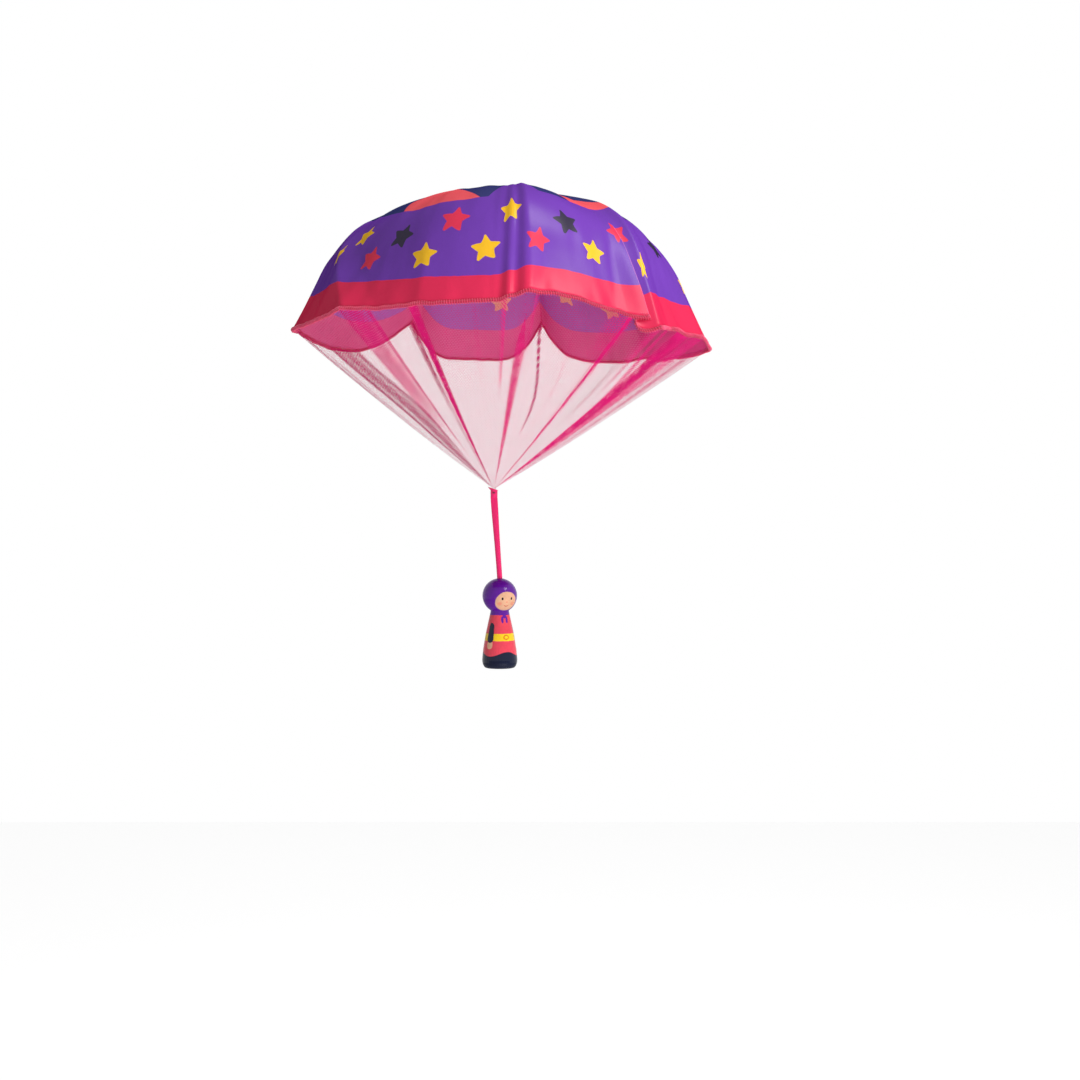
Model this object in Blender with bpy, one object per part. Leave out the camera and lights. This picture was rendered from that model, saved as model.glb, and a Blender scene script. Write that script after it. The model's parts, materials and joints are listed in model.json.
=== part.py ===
"""Toy parachute: a printed satin canopy, a gathered net skirt, a ribbon and a turned wooden doll.

Metres, +Z up. The origin is the crown of the canopy, and the front of the toy faces -Y.
"""

import math
from collections import namedtuple

import bmesh
import bpy
from mathutils import Matrix, Vector

# The canopy, cut as a round cloth and hung as a dome that leans a little
CANOPY_RADIUS = 0.1485
CANOPY_HEIGHT = 0.1010
CLOTH_THICKNESS = 0.0004
CANOPY_LEAN_DEG = 2.5
OUTLINE_SHARES = (
    (0.00, 0.000),
    (0.22, 0.024),
    (0.42, 0.100),
    (0.60, 0.222),
    (0.74, 0.375),
    (0.835, 0.55),
    (0.90, 0.73),
    (1.00, 1.00),
)
RING_SHARES = (0.13, 0.27, 0.41, 0.54, 0.66, 0.77, 0.87, 0.94, 1.0)
OUTLINE_STEPS = 12

# Folds run from the crown to the hem. Azimuths are in degrees from the front, towards +X.
Fold = namedtuple("Fold", "azimuth half_width sharpness depth_share rise_share start_share")
FOLD_SHARES = (
    Fold(-146.0, 13.0, 2.6, 0.060, 0.26, 0.35),
    Fold(-97.0, 10.0, 1.6, 0.030, 0.00, 0.40),
    Fold(-43.0, 15.0, 1.3, 0.035, 0.00, 0.12),
    Fold(5.0, 11.0, 1.6, 0.060, 0.01, 0.10),
    Fold(42.5, 9.0, 1.4, 0.070, 0.01, 0.10),
    Fold(92.0, 10.0, 1.6, 0.025, 0.00, 0.40),
    Fold(132.0, 9.0, 1.6, 0.020, 0.02, 0.50),
    Fold(169.5, 13.0, 3.0, 0.060, 0.30, 0.35),
)

# Stretches of cloth whose hem hangs lower than the rest, or higher where the share is negative
Sag = namedtuple("Sag", "azimuth half_width drop_share")
SAG_SHARES = (
    Sag(-115.0, 30.0, 0.040),
    Sag(-62.0, 40.0, 0.085),
    Sag(-25.0, 35.0, 0.045),
    Sag(58.0, 20.0, 0.030),
    Sag(95.0, 60.0, 0.040),
    Sag(115.0, 45.0, -0.030),
    Sag(170.0, 50.0, -0.045),
)
FOLD_COLUMN_SHARES = (-1.0, -0.4, 0.0, 0.4, 1.0)
PANEL_COLUMNS = 3
SURFACE_STEP_SHARE = 0.01
SURFACE_STEP_DEG = 0.5

# The overlock thread along the hem
SEAM_GAP = 0.0003
OVERLOCK_HEIGHT = 0.0022
OVERLOCK_WIDTH = 0.0013
OVERLOCK_SIDES = 8

# The net skirt, from the hem down to its gathered tip
NET_THICKNESS = 0.0003
NET_DROP = 0.1135
NET_SEAM_HEIGHT = 0.0015
NET_GATHER_RADIUS = 0.0018
NET_NECK_RADIUS = 0.0007
NET_PLEAT_DEPTH = 0.0045
NET_PLEAT_HALF_WIDTH_DEG = 12.0
NET_ROW_SHARES = (0.0, 0.16, 0.34, 0.54, 0.74, 0.90, 1.0)

# The tie under the net. Thread binds the net's tip into a ball, whose centre is the tie's place.
TIE_X = -0.0102
TIE_Z = -CANOPY_HEIGHT - NET_DROP
TIE_CLEARANCE = 0.0003
THREAD_RADIUS = 0.00015
THREAD_LAYERS = 2
BALL_RADIUS = NET_NECK_RADIUS + TIE_CLEARANCE + THREAD_LAYERS * 2.0 * THREAD_RADIUS

# The ribbon's top end, folded round the ball: a pocket with a flared rim above and a flat tail below
RIBBON_WIDTH = 0.0050
RIBBON_THICKNESS = 0.0005
WRAP_WALL = 0.00065
WRAP_POCKET_RADIUS = BALL_RADIUS + TIE_CLEARANCE
WRAP_RADIUS = WRAP_POCKET_RADIUS + WRAP_WALL
WRAP_NECK_RADIUS = NET_NECK_RADIUS + 2.0 * TIE_CLEARANCE
WRAP_NECK_HEIGHT = math.sqrt(WRAP_POCKET_RADIUS**2 - WRAP_NECK_RADIUS**2)
WRAP_NECK_SHARES = (0.97, 0.92)
WRAP_RIM_RISE = 0.0014
WRAP_RIM_LIFT = 0.0008
WRAP_RIM_FLARE_ACROSS = 0.00135
WRAP_RIM_FLARE_BACK = 0.00045
WRAP_TAIL_LENGTH = 0.00145
WRAP_TAIL_DROP = WRAP_RADIUS + WRAP_TAIL_LENGTH
WRAP_TAIL_THICKNESS = 0.0012
WRAP_TAIL_SHARES = ((0.70, 0.98, 0.55), (0.35, 1.0, 0.90), (0.0, 1.0, 1.0))
WRAP_POCKET_STEPS = 6
WRAP_SIDES = 20
STITCH_LENGTH = 0.0018
STITCH_THICKNESS = 0.0004
STITCH_DROP = 0.0004
STITCH_SIDES = 8
STITCH_END_SHARES = ((-0.5, 0.5), (-0.4, 1.0), (0.4, 1.0), (0.5, 0.5))

# The ribbon, flat at the tie and rolled to a gutter where it enters the doll
RIBBON_DROP = 0.0622
RIBBON_DRIFT = 0.0042
RIBBON_FLAT_ANGLE_DEG = 6.0
RIBBON_ROLL_ANGLE_DEG = 80.0
RIBBON_ROLL_POWER = 3.0
RIBBON_IN_BORE = 0.0100
RIBBON_SLANT_SHARES = (0.3, 0.6, 0.9)
RIBBON_UPRIGHT_SHARES = (0.1, 0.5, 1.0)
RIBBON_END_SHARES = ((0.0, 0.35), (0.4, 0.8), (1.0, 1.0))
RIBBON_ROWS = 18
RIBBON_SECTION_POINTS = 7

# The doll, turned in one piece from hardwood, with a blind bore for the ribbon
DOLL_X = TIE_X + RIBBON_DRIFT
DOLL_TOP_Z = TIE_Z - RIBBON_DROP
DOLL_HEIGHT = 0.0650
HEAD_RADIUS = 0.0126
NECK_RADIUS = 0.0067
BODY_RADIUS = 0.0128
BASE_RADIUS = 0.0096
BASE_ROUND_HEIGHT = 0.0060
NECK_GROOVE_HEIGHT = 0.0008
RIBBON_ROLL_RADIUS = RIBBON_WIDTH / (2.0 * math.radians(RIBBON_FLAT_ANGLE_DEG + RIBBON_ROLL_ANGLE_DEG))
BORE_CLEARANCE = 0.0003
BORE_RADIUS = RIBBON_ROLL_RADIUS + RIBBON_THICKNESS / 2.0 + BORE_CLEARANCE
BORE_FLOOR_CLEARANCE = 0.0010
BORE_DEPTH = RIBBON_IN_BORE + BORE_FLOOR_CLEARANCE
BORE_ROUND = 0.0004
BODY_OUTLINE_SHARES = ((0.0, 0.0), (0.22, 0.28), (0.50, 0.62), (0.78, 0.88), (1.0, 1.0))
HEAD_STEPS = 14
BASE_ROUND_STEPS = 5
DOLL_SEGMENTS = 40
SHARP_ANGLE_DEG = 50.0
WELD_DISTANCE = 0.000001


def remove_old_objects():
    for old in list(bpy.data.objects):
        bpy.data.objects.remove(old, do_unlink=True)


def make_material(name, colour, roughness, metallic=0.0):
    material = bpy.data.materials.new(name)
    material.use_nodes = True
    shader = material.node_tree.nodes["Principled BSDF"]
    shader.inputs["Base Color"].default_value = (*colour, 1.0)
    shader.inputs["Roughness"].default_value = roughness
    shader.inputs["Metallic"].default_value = metallic
    return material


def add_object(name, shape, parent, material):
    """Turns a bmesh into a smooth-shaded object that hangs on its parent empty."""
    mesh = bpy.data.meshes.new(name)
    shape.to_mesh(mesh)
    shape.free()
    mesh.shade_smooth()
    made = bpy.data.objects.new(name, mesh)
    bpy.context.scene.collection.objects.link(made)
    made.parent = parent
    made.data.materials.append(material)
    return made


def add_pivot(name, place, lean_deg=0.0):
    pivot = bpy.data.objects.new(name, None)
    bpy.context.scene.collection.objects.link(pivot)
    pivot.location = place
    pivot.rotation_euler = (0.0, math.radians(lean_deg), 0.0)
    return pivot


def add_solidify(made, thickness):
    """Gives a sheet its thickness, on its inner side."""
    modifier = made.modifiers.new("cloth_thickness", "SOLIDIFY")
    modifier.thickness = thickness
    modifier.offset = -1.0
    modifier.use_even_offset = False


def smoothstep(value):
    value = min(max(value, 0.0), 1.0)
    return value * value * (3.0 - 2.0 * value)


def smooth_run(points, steps, before=None):
    """A smooth run through the points, each stretch cut into steps."""
    before = before or points[0] * 2.0 - points[1]
    padded = [before, *points, points[-1] * 2.0 - points[-2]]
    run = []
    for first, start, end, last in zip(padded, padded[1:], padded[2:], padded[3:]):
        for step in range(steps):
            t = step / steps
            bend = first * 2.0 - start * 5.0 + end * 4.0 - last
            curl = start * 3.0 - first - end * 3.0 + last
            run.append((start * 2.0 + (end - first) * t + bend * t * t + curl * t**3) * 0.5)
    run.append(points[-1])
    return run


def point_along(run, share):
    """The point at a share of the run's length, and the run's direction there."""
    lengths = [(b - a).length for a, b in zip(run, run[1:])]
    left = share * sum(lengths)
    for start, end, length in zip(run, run[1:], lengths):
        if left <= length or end is run[-1]:
            return start.lerp(end, left / length), (end - start).normalized()
        left -= length


def loft(rings, ring_closed=False):
    """A bmesh skin over rings of points, capped at both ends, or closed into a ring of rings."""
    shape = bmesh.new()
    rows = [[shape.verts.new(point) for point in ring] for ring in rings]
    pairs = list(zip(rows, rows[1:]))
    if ring_closed:
        pairs.append((rows[-1], rows[0]))
    else:
        shape.faces.new(rows[0])
        shape.faces.new(rows[-1])
    for row, after in pairs:
        for i in range(len(row)):
            j = (i + 1) % len(row)
            shape.faces.new((row[i], row[j], after[j], after[i]))
    bmesh.ops.recalc_face_normals(shape, faces=shape.faces)
    return shape


def turned(outline, segments):
    """A bmesh turned about Z from an outline of (radius, height) that starts and ends on the axis."""
    shape = bmesh.new()
    verts = [shape.verts.new((radius, 0.0, height)) for radius, height in outline]
    edges = [shape.edges.new(pair) for pair in zip(verts, verts[1:])]
    bmesh.ops.spin(
        shape,
        geom=verts + edges,
        axis=(0.0, 0.0, 1.0),
        cent=(0.0, 0.0, 0.0),
        angle=math.tau,
        steps=segments,
        use_merge=True,
    )
    on_axis = [v for v in shape.verts if math.hypot(v.co.x, v.co.y) < WELD_DISTANCE]
    bmesh.ops.remove_doubles(shape, verts=on_axis, dist=WELD_DISTANCE)
    bmesh.ops.dissolve_degenerate(shape, edges=shape.edges, dist=WELD_DISTANCE)
    bmesh.ops.recalc_face_normals(shape, faces=shape.faces)
    return shape


def canopy_outline():
    """The cloth's unfolded outline from crown to hem, as points of (radius, height)."""
    points = [Vector((r * CANOPY_RADIUS, -drop * CANOPY_HEIGHT)) for r, drop in OUTLINE_SHARES]
    mirrored = Vector((-points[1].x, points[1].y))
    return smooth_run(points, OUTLINE_STEPS, before=mirrored)


CANOPY_OUTLINE = canopy_outline()


def turn_between(azimuth, other):
    """The angle between two azimuths, in degrees, never negative."""
    return abs((azimuth - other + 180.0) % 360.0 - 180.0)


def canopy_point(azimuth, share):
    """The cloth's outer side, by azimuth in degrees and by share of the way from crown to hem."""
    place, direction = point_along(CANOPY_OUTLINE, share)
    outward = Vector((-direction.y, direction.x))
    for fold in FOLD_SHARES:
        away = turn_between(azimuth, fold.azimuth) / fold.half_width
        if away >= 1.0:
            continue
        grown = smoothstep((share - fold.start_share) / (1.0 - fold.start_share))
        strength = grown * (1.0 - away) ** fold.sharpness
        place = place + outward * (strength * fold.depth_share * CANOPY_RADIUS)
        place = place + Vector((0.0, strength * share * fold.rise_share * CANOPY_HEIGHT))
    for sag in SAG_SHARES:
        hung = smoothstep(1.0 - turn_between(azimuth, sag.azimuth) / sag.half_width)
        place = place - Vector((0.0, hung * share**2 * sag.drop_share * CANOPY_HEIGHT))
    angle = math.radians(azimuth)
    return Vector((place.x * math.sin(angle), -place.x * math.cos(angle), place.y))


def column_azimuths():
    """Columns of cloth: close together on each fold, wider apart on the panels."""
    columns = []
    following = FOLD_SHARES[1:] + FOLD_SHARES[:1]
    for fold, after in zip(FOLD_SHARES, following):
        columns += [fold.azimuth + step * fold.half_width for step in FOLD_COLUMN_SHARES]
        first = fold.azimuth + fold.half_width
        gap = (after.azimuth - after.half_width - first) % 360.0
        columns += [first + gap * (k + 1) / (PANEL_COLUMNS + 1) for k in range(PANEL_COLUMNS)]
    return columns


AZIMUTHS = column_azimuths()


def sheet_from_rows(rows, pole, pole_first):
    """An open sheet: rings of points, closed at one end by a pole."""
    shape = bmesh.new()
    tip = shape.verts.new(pole)
    rings = [[shape.verts.new(point) for point in row] for row in rows]
    count = len(rows[0])
    near = rings[0] if pole_first else rings[-1]
    for i in range(count):
        j = (i + 1) % count
        shape.faces.new((tip, near[i], near[j]))
        for ring, after in zip(rings, rings[1:]):
            shape.faces.new((ring[i], ring[j], after[j], after[i]))
    bmesh.ops.recalc_face_normals(shape, faces=shape.faces)
    return shape


def face_outwards(shape, inside):
    """Turns an open sheet's faces away from a point inside it."""
    shape.faces.ensure_lookup_table()
    face = shape.faces[0]
    face.normal_update()
    if face.normal.dot(face.calc_center_median() - inside) < 0.0:
        bmesh.ops.reverse_faces(shape, faces=shape.faces)


def hem_line():
    """The hem's corners, each with its outward direction."""
    line = []
    for azimuth in AZIMUTHS:
        place = canopy_point(azimuth, 1.0)
        inner = canopy_point(azimuth, 1.0 - SURFACE_STEP_SHARE)
        before = canopy_point(azimuth - SURFACE_STEP_DEG, 1.0)
        after = canopy_point(azimuth + SURFACE_STEP_DEG, 1.0)
        line.append((place, (after - before).cross(inner - place).normalized()))
    return line


def below_hem(line, distance):
    """The hem line moved down within the cloth's surface, with mitred corners."""
    moved = []
    count = len(line)
    for i, (place, outward) in enumerate(line):
        before = line[i - 1][0]
        after = line[(i + 1) % count][0]
        first = (place - before).cross(outward).normalized()
        second = (after - place).cross(outward).normalized()
        mitre = (first + second) / (1.0 + first.dot(second))
        moved.append(place + mitre * distance)
    return moved


def make_canopy(frame):
    material = make_material("canopy_satin", (0.20, 0.08, 0.52), 0.38)
    rows = [[canopy_point(azimuth, share) for azimuth in AZIMUTHS] for share in RING_SHARES]
    shape = sheet_from_rows(rows, (0.0, 0.0, 0.0), pole_first=True)
    face_outwards(shape, Vector((0.0, 0.0, -CANOPY_HEIGHT)))
    made = add_object("canopy_cloth", shape, frame, material)
    add_solidify(made, CLOTH_THICKNESS)


def make_overlock(frame, line):
    """The overlock thread: a flattened bead that closes the raw edge all the way round."""
    material = make_material("overlock_thread", (0.80, 0.03, 0.14), 0.6)
    half_height = OVERLOCK_HEIGHT / 2.0
    middle = below_hem(line, SEAM_GAP + half_height)
    lower = below_hem(line, SEAM_GAP + OVERLOCK_HEIGHT)
    rings = []
    for (place, outward), core, foot in zip(line, middle, lower):
        down = foot - core
        core = core - outward * (CLOTH_THICKNESS / 2.0)
        ring = []
        for side in range(OVERLOCK_SIDES):
            angle = math.tau * (side + 0.5) / OVERLOCK_SIDES
            across = outward * (math.cos(angle) * OVERLOCK_WIDTH / 2.0)
            ring.append(core + across + down * math.sin(angle))
        rings.append(ring)
    add_object("hem_overlock", loft(rings, ring_closed=True), frame, material)


def over_tie(height):
    """A point on the tie's upright axis at a height over its centre, in the canopy's leaning frame."""
    lean = Matrix.Rotation(math.radians(CANOPY_LEAN_DEG), 3, "Y")
    return lean.inverted() @ Vector((TIE_X, 0.0, TIE_Z + height))


def net_pleat(azimuth, centre):
    away = turn_between(azimuth, centre) / NET_PLEAT_HALF_WIDTH_DEG
    return max(0.0, 1.0 - away) ** 2


def make_net(frame, line):
    """The net skirt: straight runs from the hem to the tie, with a pleat at each fold."""
    material = make_material("net_tulle", (0.85, 0.20, 0.45), 0.8)
    seam = SEAM_GAP + OVERLOCK_HEIGHT + SEAM_GAP
    top = below_hem(line, seam + NET_SEAM_HEIGHT)
    rim_height = WRAP_NECK_HEIGHT + WRAP_RIM_RISE + WRAP_RIM_LIFT
    gather = over_tie(rim_height + TIE_CLEARANCE)
    rows = [below_hem(line, seam)]
    for share in NET_ROW_SHARES:
        row = []
        for azimuth, start in zip(AZIMUTHS, top):
            angle = math.radians(azimuth)
            outward = Vector((math.sin(angle), -math.cos(angle), 0.0))
            end = gather + outward * NET_GATHER_RADIUS
            pleat = sum(net_pleat(azimuth, fold.azimuth) for fold in FOLD_SHARES)
            swell = 4.0 * share * (1.0 - share)
            row.append(start.lerp(end, share) + outward * (pleat * swell * NET_PLEAT_DEPTH))
        rows.append(row)
    gathered = rows[-1]
    neck_share = NET_NECK_RADIUS / NET_GATHER_RADIUS
    for centre in (over_tie(WRAP_NECK_HEIGHT), over_tie(-BALL_RADIUS / 2.0)):
        rows.append([centre + (point - gather) * neck_share for point in gathered])
    tip = over_tie(-BALL_RADIUS / 2.0 - NET_NECK_RADIUS / 2.0)
    shape = sheet_from_rows(rows, tip, pole_first=False)
    face_outwards(shape, Vector((0.0, 0.0, -CANOPY_HEIGHT)))
    made = add_object("net_skirt", shape, frame, material)
    add_solidify(made, NET_THICKNESS)


def oval(half_width, half_depth, height, tilt=0.0):
    """An oval ring of points round Z; tilt lifts its -X side and lowers its +X side."""
    ring = []
    for side in range(WRAP_SIDES):
        angle = math.tau * side / WRAP_SIDES
        lift = -tilt * math.cos(angle)
        ring.append(Vector((half_width * math.cos(angle), half_depth * math.sin(angle), height + lift)))
    return ring


def make_gather_thread(tie):
    """The thread that binds the net's tip into a ball: turns side by side round a bore."""
    material = make_material("gather_thread", (0.75, 0.05, 0.22), 0.6)
    bore = NET_NECK_RADIUS + TIE_CLEARANCE
    pitch = 2.0 * THREAD_RADIUS
    turns_each_way = int(math.sqrt(BALL_RADIUS**2 - (bore + pitch) ** 2) / pitch)
    outline = []
    for turn in range(-turns_each_way, turns_each_way + 1):
        height = turn * pitch
        crest = math.sqrt(BALL_RADIUS**2 - height**2)
        outline.append((crest - THREAD_RADIUS, height - THREAD_RADIUS))
        outline.append((crest, height))
    top = outline[-1][1] + THREAD_RADIUS
    outline.append((outline[-2][0], top))
    outline += [(bore, top), (bore, outline[0][1])]
    rings = [oval(radius, radius, height) for radius, height in outline]
    add_object("gather_thread", loft(rings, ring_closed=True), tie, material)


def make_wrap(tie):
    """The ribbon's top end, folded round the thread ball as a flared cup with a flat tail."""
    material = make_material("ribbon_satin", (0.83, 0.02, 0.13), 0.35)
    rings = [oval(RIBBON_WIDTH / 2.0, WRAP_TAIL_THICKNESS / 2.0, -WRAP_TAIL_DROP)]
    for drop, width, depth in WRAP_TAIL_SHARES:
        rings.append(oval(WRAP_RADIUS * width, WRAP_RADIUS * depth, -WRAP_TAIL_DROP * drop))
    width, depth = WRAP_NECK_SHARES
    rings.append(oval(WRAP_RADIUS * width, WRAP_RADIUS * depth, WRAP_NECK_HEIGHT))
    rim_height = WRAP_NECK_HEIGHT + WRAP_RIM_RISE
    for wall in (0.0, WRAP_WALL):
        half_width = WRAP_RADIUS + WRAP_RIM_FLARE_ACROSS - wall
        half_depth = WRAP_RADIUS + WRAP_RIM_FLARE_BACK - wall
        rings.append(oval(half_width, half_depth, rim_height, WRAP_RIM_LIFT))
    neck_angle = math.asin(WRAP_NECK_RADIUS / WRAP_POCKET_RADIUS)
    for step in range(WRAP_POCKET_STEPS):
        angle = neck_angle + (math.pi - neck_angle) * step / WRAP_POCKET_STEPS
        radius = WRAP_POCKET_RADIUS * math.sin(angle)
        rings.append(oval(radius, radius, WRAP_POCKET_RADIUS * math.cos(angle)))
    add_object("ribbon_wrap", loft(rings), tie, material)


def make_stitch(tie):
    """The bar tack on the front of the wrap."""
    material = make_material("tack_thread", (0.55, 0.02, 0.12), 0.6)
    centre = Vector((0.0, -WRAP_RADIUS - SEAM_GAP - STITCH_THICKNESS / 2.0, -STITCH_DROP))
    rings = []
    for end, thickness in STITCH_END_SHARES:
        radius = STITCH_THICKNESS / 2.0 * thickness
        ring = []
        for side in range(STITCH_SIDES):
            angle = math.tau * side / STITCH_SIDES
            around = Vector((end * STITCH_LENGTH, radius * math.cos(angle), radius * math.sin(angle)))
            ring.append(centre + around)
        rings.append(ring)
    add_object("wrap_stitch", loft(rings), tie, material)


def ribbon_section(share, half_thickness):
    """The ribbon's section at a share of its length: an arc of its own width, (across, back)."""
    roll_angle = RIBBON_ROLL_ANGLE_DEG * (1.0 - (1.0 - share) ** RIBBON_ROLL_POWER)
    half_angle = math.radians(RIBBON_FLAT_ANGLE_DEG + roll_angle)
    bend_radius = RIBBON_WIDTH / (2.0 * half_angle)
    centre_back = bend_radius - RIBBON_ROLL_RADIUS * share
    points = []
    for side in (1.0, -1.0):
        for k in range(RIBBON_SECTION_POINTS):
            turn = side * half_angle * (2.0 * k / (RIBBON_SECTION_POINTS - 1) - 1.0)
            radius = bend_radius + side * half_thickness
            points.append((radius * math.sin(turn), centre_back - radius * math.cos(turn)))
    return points


def make_ribbon(hinge, hinge_place):
    """The ribbon from its hinge line under the tie down into the doll's bore."""
    material = make_material("ribbon_satin_strap", (0.83, 0.02, 0.13), 0.35)
    half_thickness = RIBBON_THICKNESS / 2.0
    bore_mouth = Vector((DOLL_X, 0.0, DOLL_TOP_Z)) - hinge_place
    upright = Vector((0.0, 0.0, -RIBBON_IN_BORE))
    points = [bore_mouth.normalized() * -half_thickness]
    points += [bore_mouth * share for share in RIBBON_SLANT_SHARES]
    points += [bore_mouth + upright * share for share in RIBBON_UPRIGHT_SHARES]
    run = smooth_run(points, OUTLINE_STEPS)
    length = sum((b - a).length for a, b in zip(run, run[1:]))
    stations = [(half_thickness / length * along, thickness) for along, thickness in RIBBON_END_SHARES]
    stations += [((k + 1) / RIBBON_ROWS, 1.0) for k in range(RIBBON_ROWS)]
    rings = []
    for share, thickness in stations:
        place, direction = point_along(run, share)
        across = Vector((-direction.z, 0.0, direction.x))
        back = Vector((0.0, 1.0, 0.0))
        section = ribbon_section(share, half_thickness * thickness)
        rings.append([place + across * x + back * y for x, y in section])
    add_object("ribbon", loft(rings), hinge, material)


def doll_outline():
    """From the bore's floor up, over the head, down the body and back to the axis at the base."""
    outline = [(0.0, -BORE_DEPTH), (BORE_RADIUS, -BORE_DEPTH), (BORE_RADIUS, -BORE_ROUND)]
    first = math.asin((BORE_RADIUS + BORE_ROUND) / HEAD_RADIUS)
    last = math.pi - math.asin(NECK_RADIUS / HEAD_RADIUS)
    for step in range(HEAD_STEPS + 1):
        angle = first + (last - first) * step / HEAD_STEPS
        outline.append((HEAD_RADIUS * math.sin(angle), HEAD_RADIUS * (math.cos(angle) - 1.0)))
    neck = outline[-1][1] - NECK_GROOVE_HEIGHT
    waist = -DOLL_HEIGHT + BASE_ROUND_HEIGHT
    for drop, swell in BODY_OUTLINE_SHARES:
        radius = NECK_RADIUS + (BODY_RADIUS - NECK_RADIUS) * swell
        outline.append((radius, neck + (waist - neck) * drop))
    for step in range(1, BASE_ROUND_STEPS + 1):
        angle = math.pi / 2.0 * step / BASE_ROUND_STEPS
        radius = BASE_RADIUS + (BODY_RADIUS - BASE_RADIUS) * math.cos(angle)
        outline.append((radius, waist - BASE_ROUND_HEIGHT * math.sin(angle)))
    outline.append((0.0, -DOLL_HEIGHT))
    return outline


def make_doll(spin_axis):
    material = make_material("painted_wood", (0.80, 0.08, 0.10), 0.3)
    made = add_object("peg_doll", turned(doll_outline(), DOLL_SEGMENTS), spin_axis, material)
    made.data.set_sharp_from_angle(angle=math.radians(SHARP_ANGLE_DEG))


def main():
    remove_old_objects()
    frame = add_pivot("canopy_frame", (0.0, 0.0, 0.0), CANOPY_LEAN_DEG)
    line = hem_line()
    make_canopy(frame)
    make_overlock(frame, line)
    make_net(frame, line)
    tie = add_pivot("tie_pivot", (TIE_X, 0.0, TIE_Z))
    make_gather_thread(tie)
    make_wrap(tie)
    make_stitch(tie)
    hinge_drop = WRAP_TAIL_DROP + TIE_CLEARANCE + RIBBON_THICKNESS / 2.0
    hinge_place = Vector((TIE_X, 0.0, TIE_Z - hinge_drop))
    make_ribbon(add_pivot("ribbon_hinge", hinge_place), hinge_place)
    make_doll(add_pivot("doll_spin_axis", (DOLL_X, 0.0, DOLL_TOP_Z)))
    bpy.context.view_layer.update()


main()
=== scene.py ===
"""Looks of the toy parachute: satin canopy, overlock, tulle net, ribbon and painted doll.

Metres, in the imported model's frame: the crown is the origin, +Z is up and the front faces -Y.
"""

import json
import math
from collections import namedtuple
from functools import lru_cache

import bmesh
import bpy
from mathutils import Matrix, Vector, kdtree, noise


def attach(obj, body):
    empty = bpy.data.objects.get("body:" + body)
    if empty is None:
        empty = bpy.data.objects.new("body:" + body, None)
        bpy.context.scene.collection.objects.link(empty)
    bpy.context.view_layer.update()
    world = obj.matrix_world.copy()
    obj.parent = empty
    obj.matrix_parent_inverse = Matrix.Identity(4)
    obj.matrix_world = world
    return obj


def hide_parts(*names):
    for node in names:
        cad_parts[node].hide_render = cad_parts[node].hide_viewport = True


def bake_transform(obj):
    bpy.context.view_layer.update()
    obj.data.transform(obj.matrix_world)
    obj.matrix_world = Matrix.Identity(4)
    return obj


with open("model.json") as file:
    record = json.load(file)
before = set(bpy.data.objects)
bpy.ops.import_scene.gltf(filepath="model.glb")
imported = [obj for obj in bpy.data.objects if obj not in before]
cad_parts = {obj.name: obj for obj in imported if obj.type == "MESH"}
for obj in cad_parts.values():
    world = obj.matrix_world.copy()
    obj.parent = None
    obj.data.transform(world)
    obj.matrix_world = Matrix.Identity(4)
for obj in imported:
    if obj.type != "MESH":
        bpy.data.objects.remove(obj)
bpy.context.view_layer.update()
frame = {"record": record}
JOINTS = {joint["name"]: joint for joint in frame["record"]["behaviour"]["joints"]}
TIE = Vector(JOINTS["side_swing"]["pos_m"])
RIBBON_HINGE = Vector(JOINTS["fore_aft_swing"]["pos_m"])
DOLL_TOP = Vector(JOINTS["doll_spin"]["pos_m"])

# The camera stands level with the middle of the photograph, in front of the toy
CAMERA_PLACE = (0.0232, -0.96, -0.249)
CAMERA_LENS_MM = 44.1
CAMERA_SENSOR_MM = 36.0

# Studio: a soft key light high at the right, one low in front at the right, an even pale world
# and a floor far below
Lamp = namedtuple("Lamp", "name place size watts glints")
LAMPS = (
    Lamp("key", Vector((1.00, -0.55, 1.25)), 0.8, 21.0, True),
    Lamp("fill", Vector((0.84, -1.38, -0.80)), 1.0, 18.5, False),
)
LAMP_TARGET = Vector((0.0, 0.0, -0.12))
WORLD_LIGHT = 0.34
FLOOR_DROP = 1.20
FLOOR_SIZE = 7.0
FLOOR_LIFT = 0.60

# The canopy's form, as in the part's source
CANOPY_RADIUS = 0.1485
CANOPY_HEIGHT = 0.1010
CANOPY_LEAN_DEG = 2.5
# Points from crown to hem, as shares of the radius and of the height
OUTLINE_SHARES = (
    (0.00, 0.000), (0.22, 0.024), (0.42, 0.100), (0.60, 0.222),
    (0.74, 0.375), (0.835, 0.55), (0.90, 0.73), (1.00, 1.00),
)
OUTLINE_STEPS = 12

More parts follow.
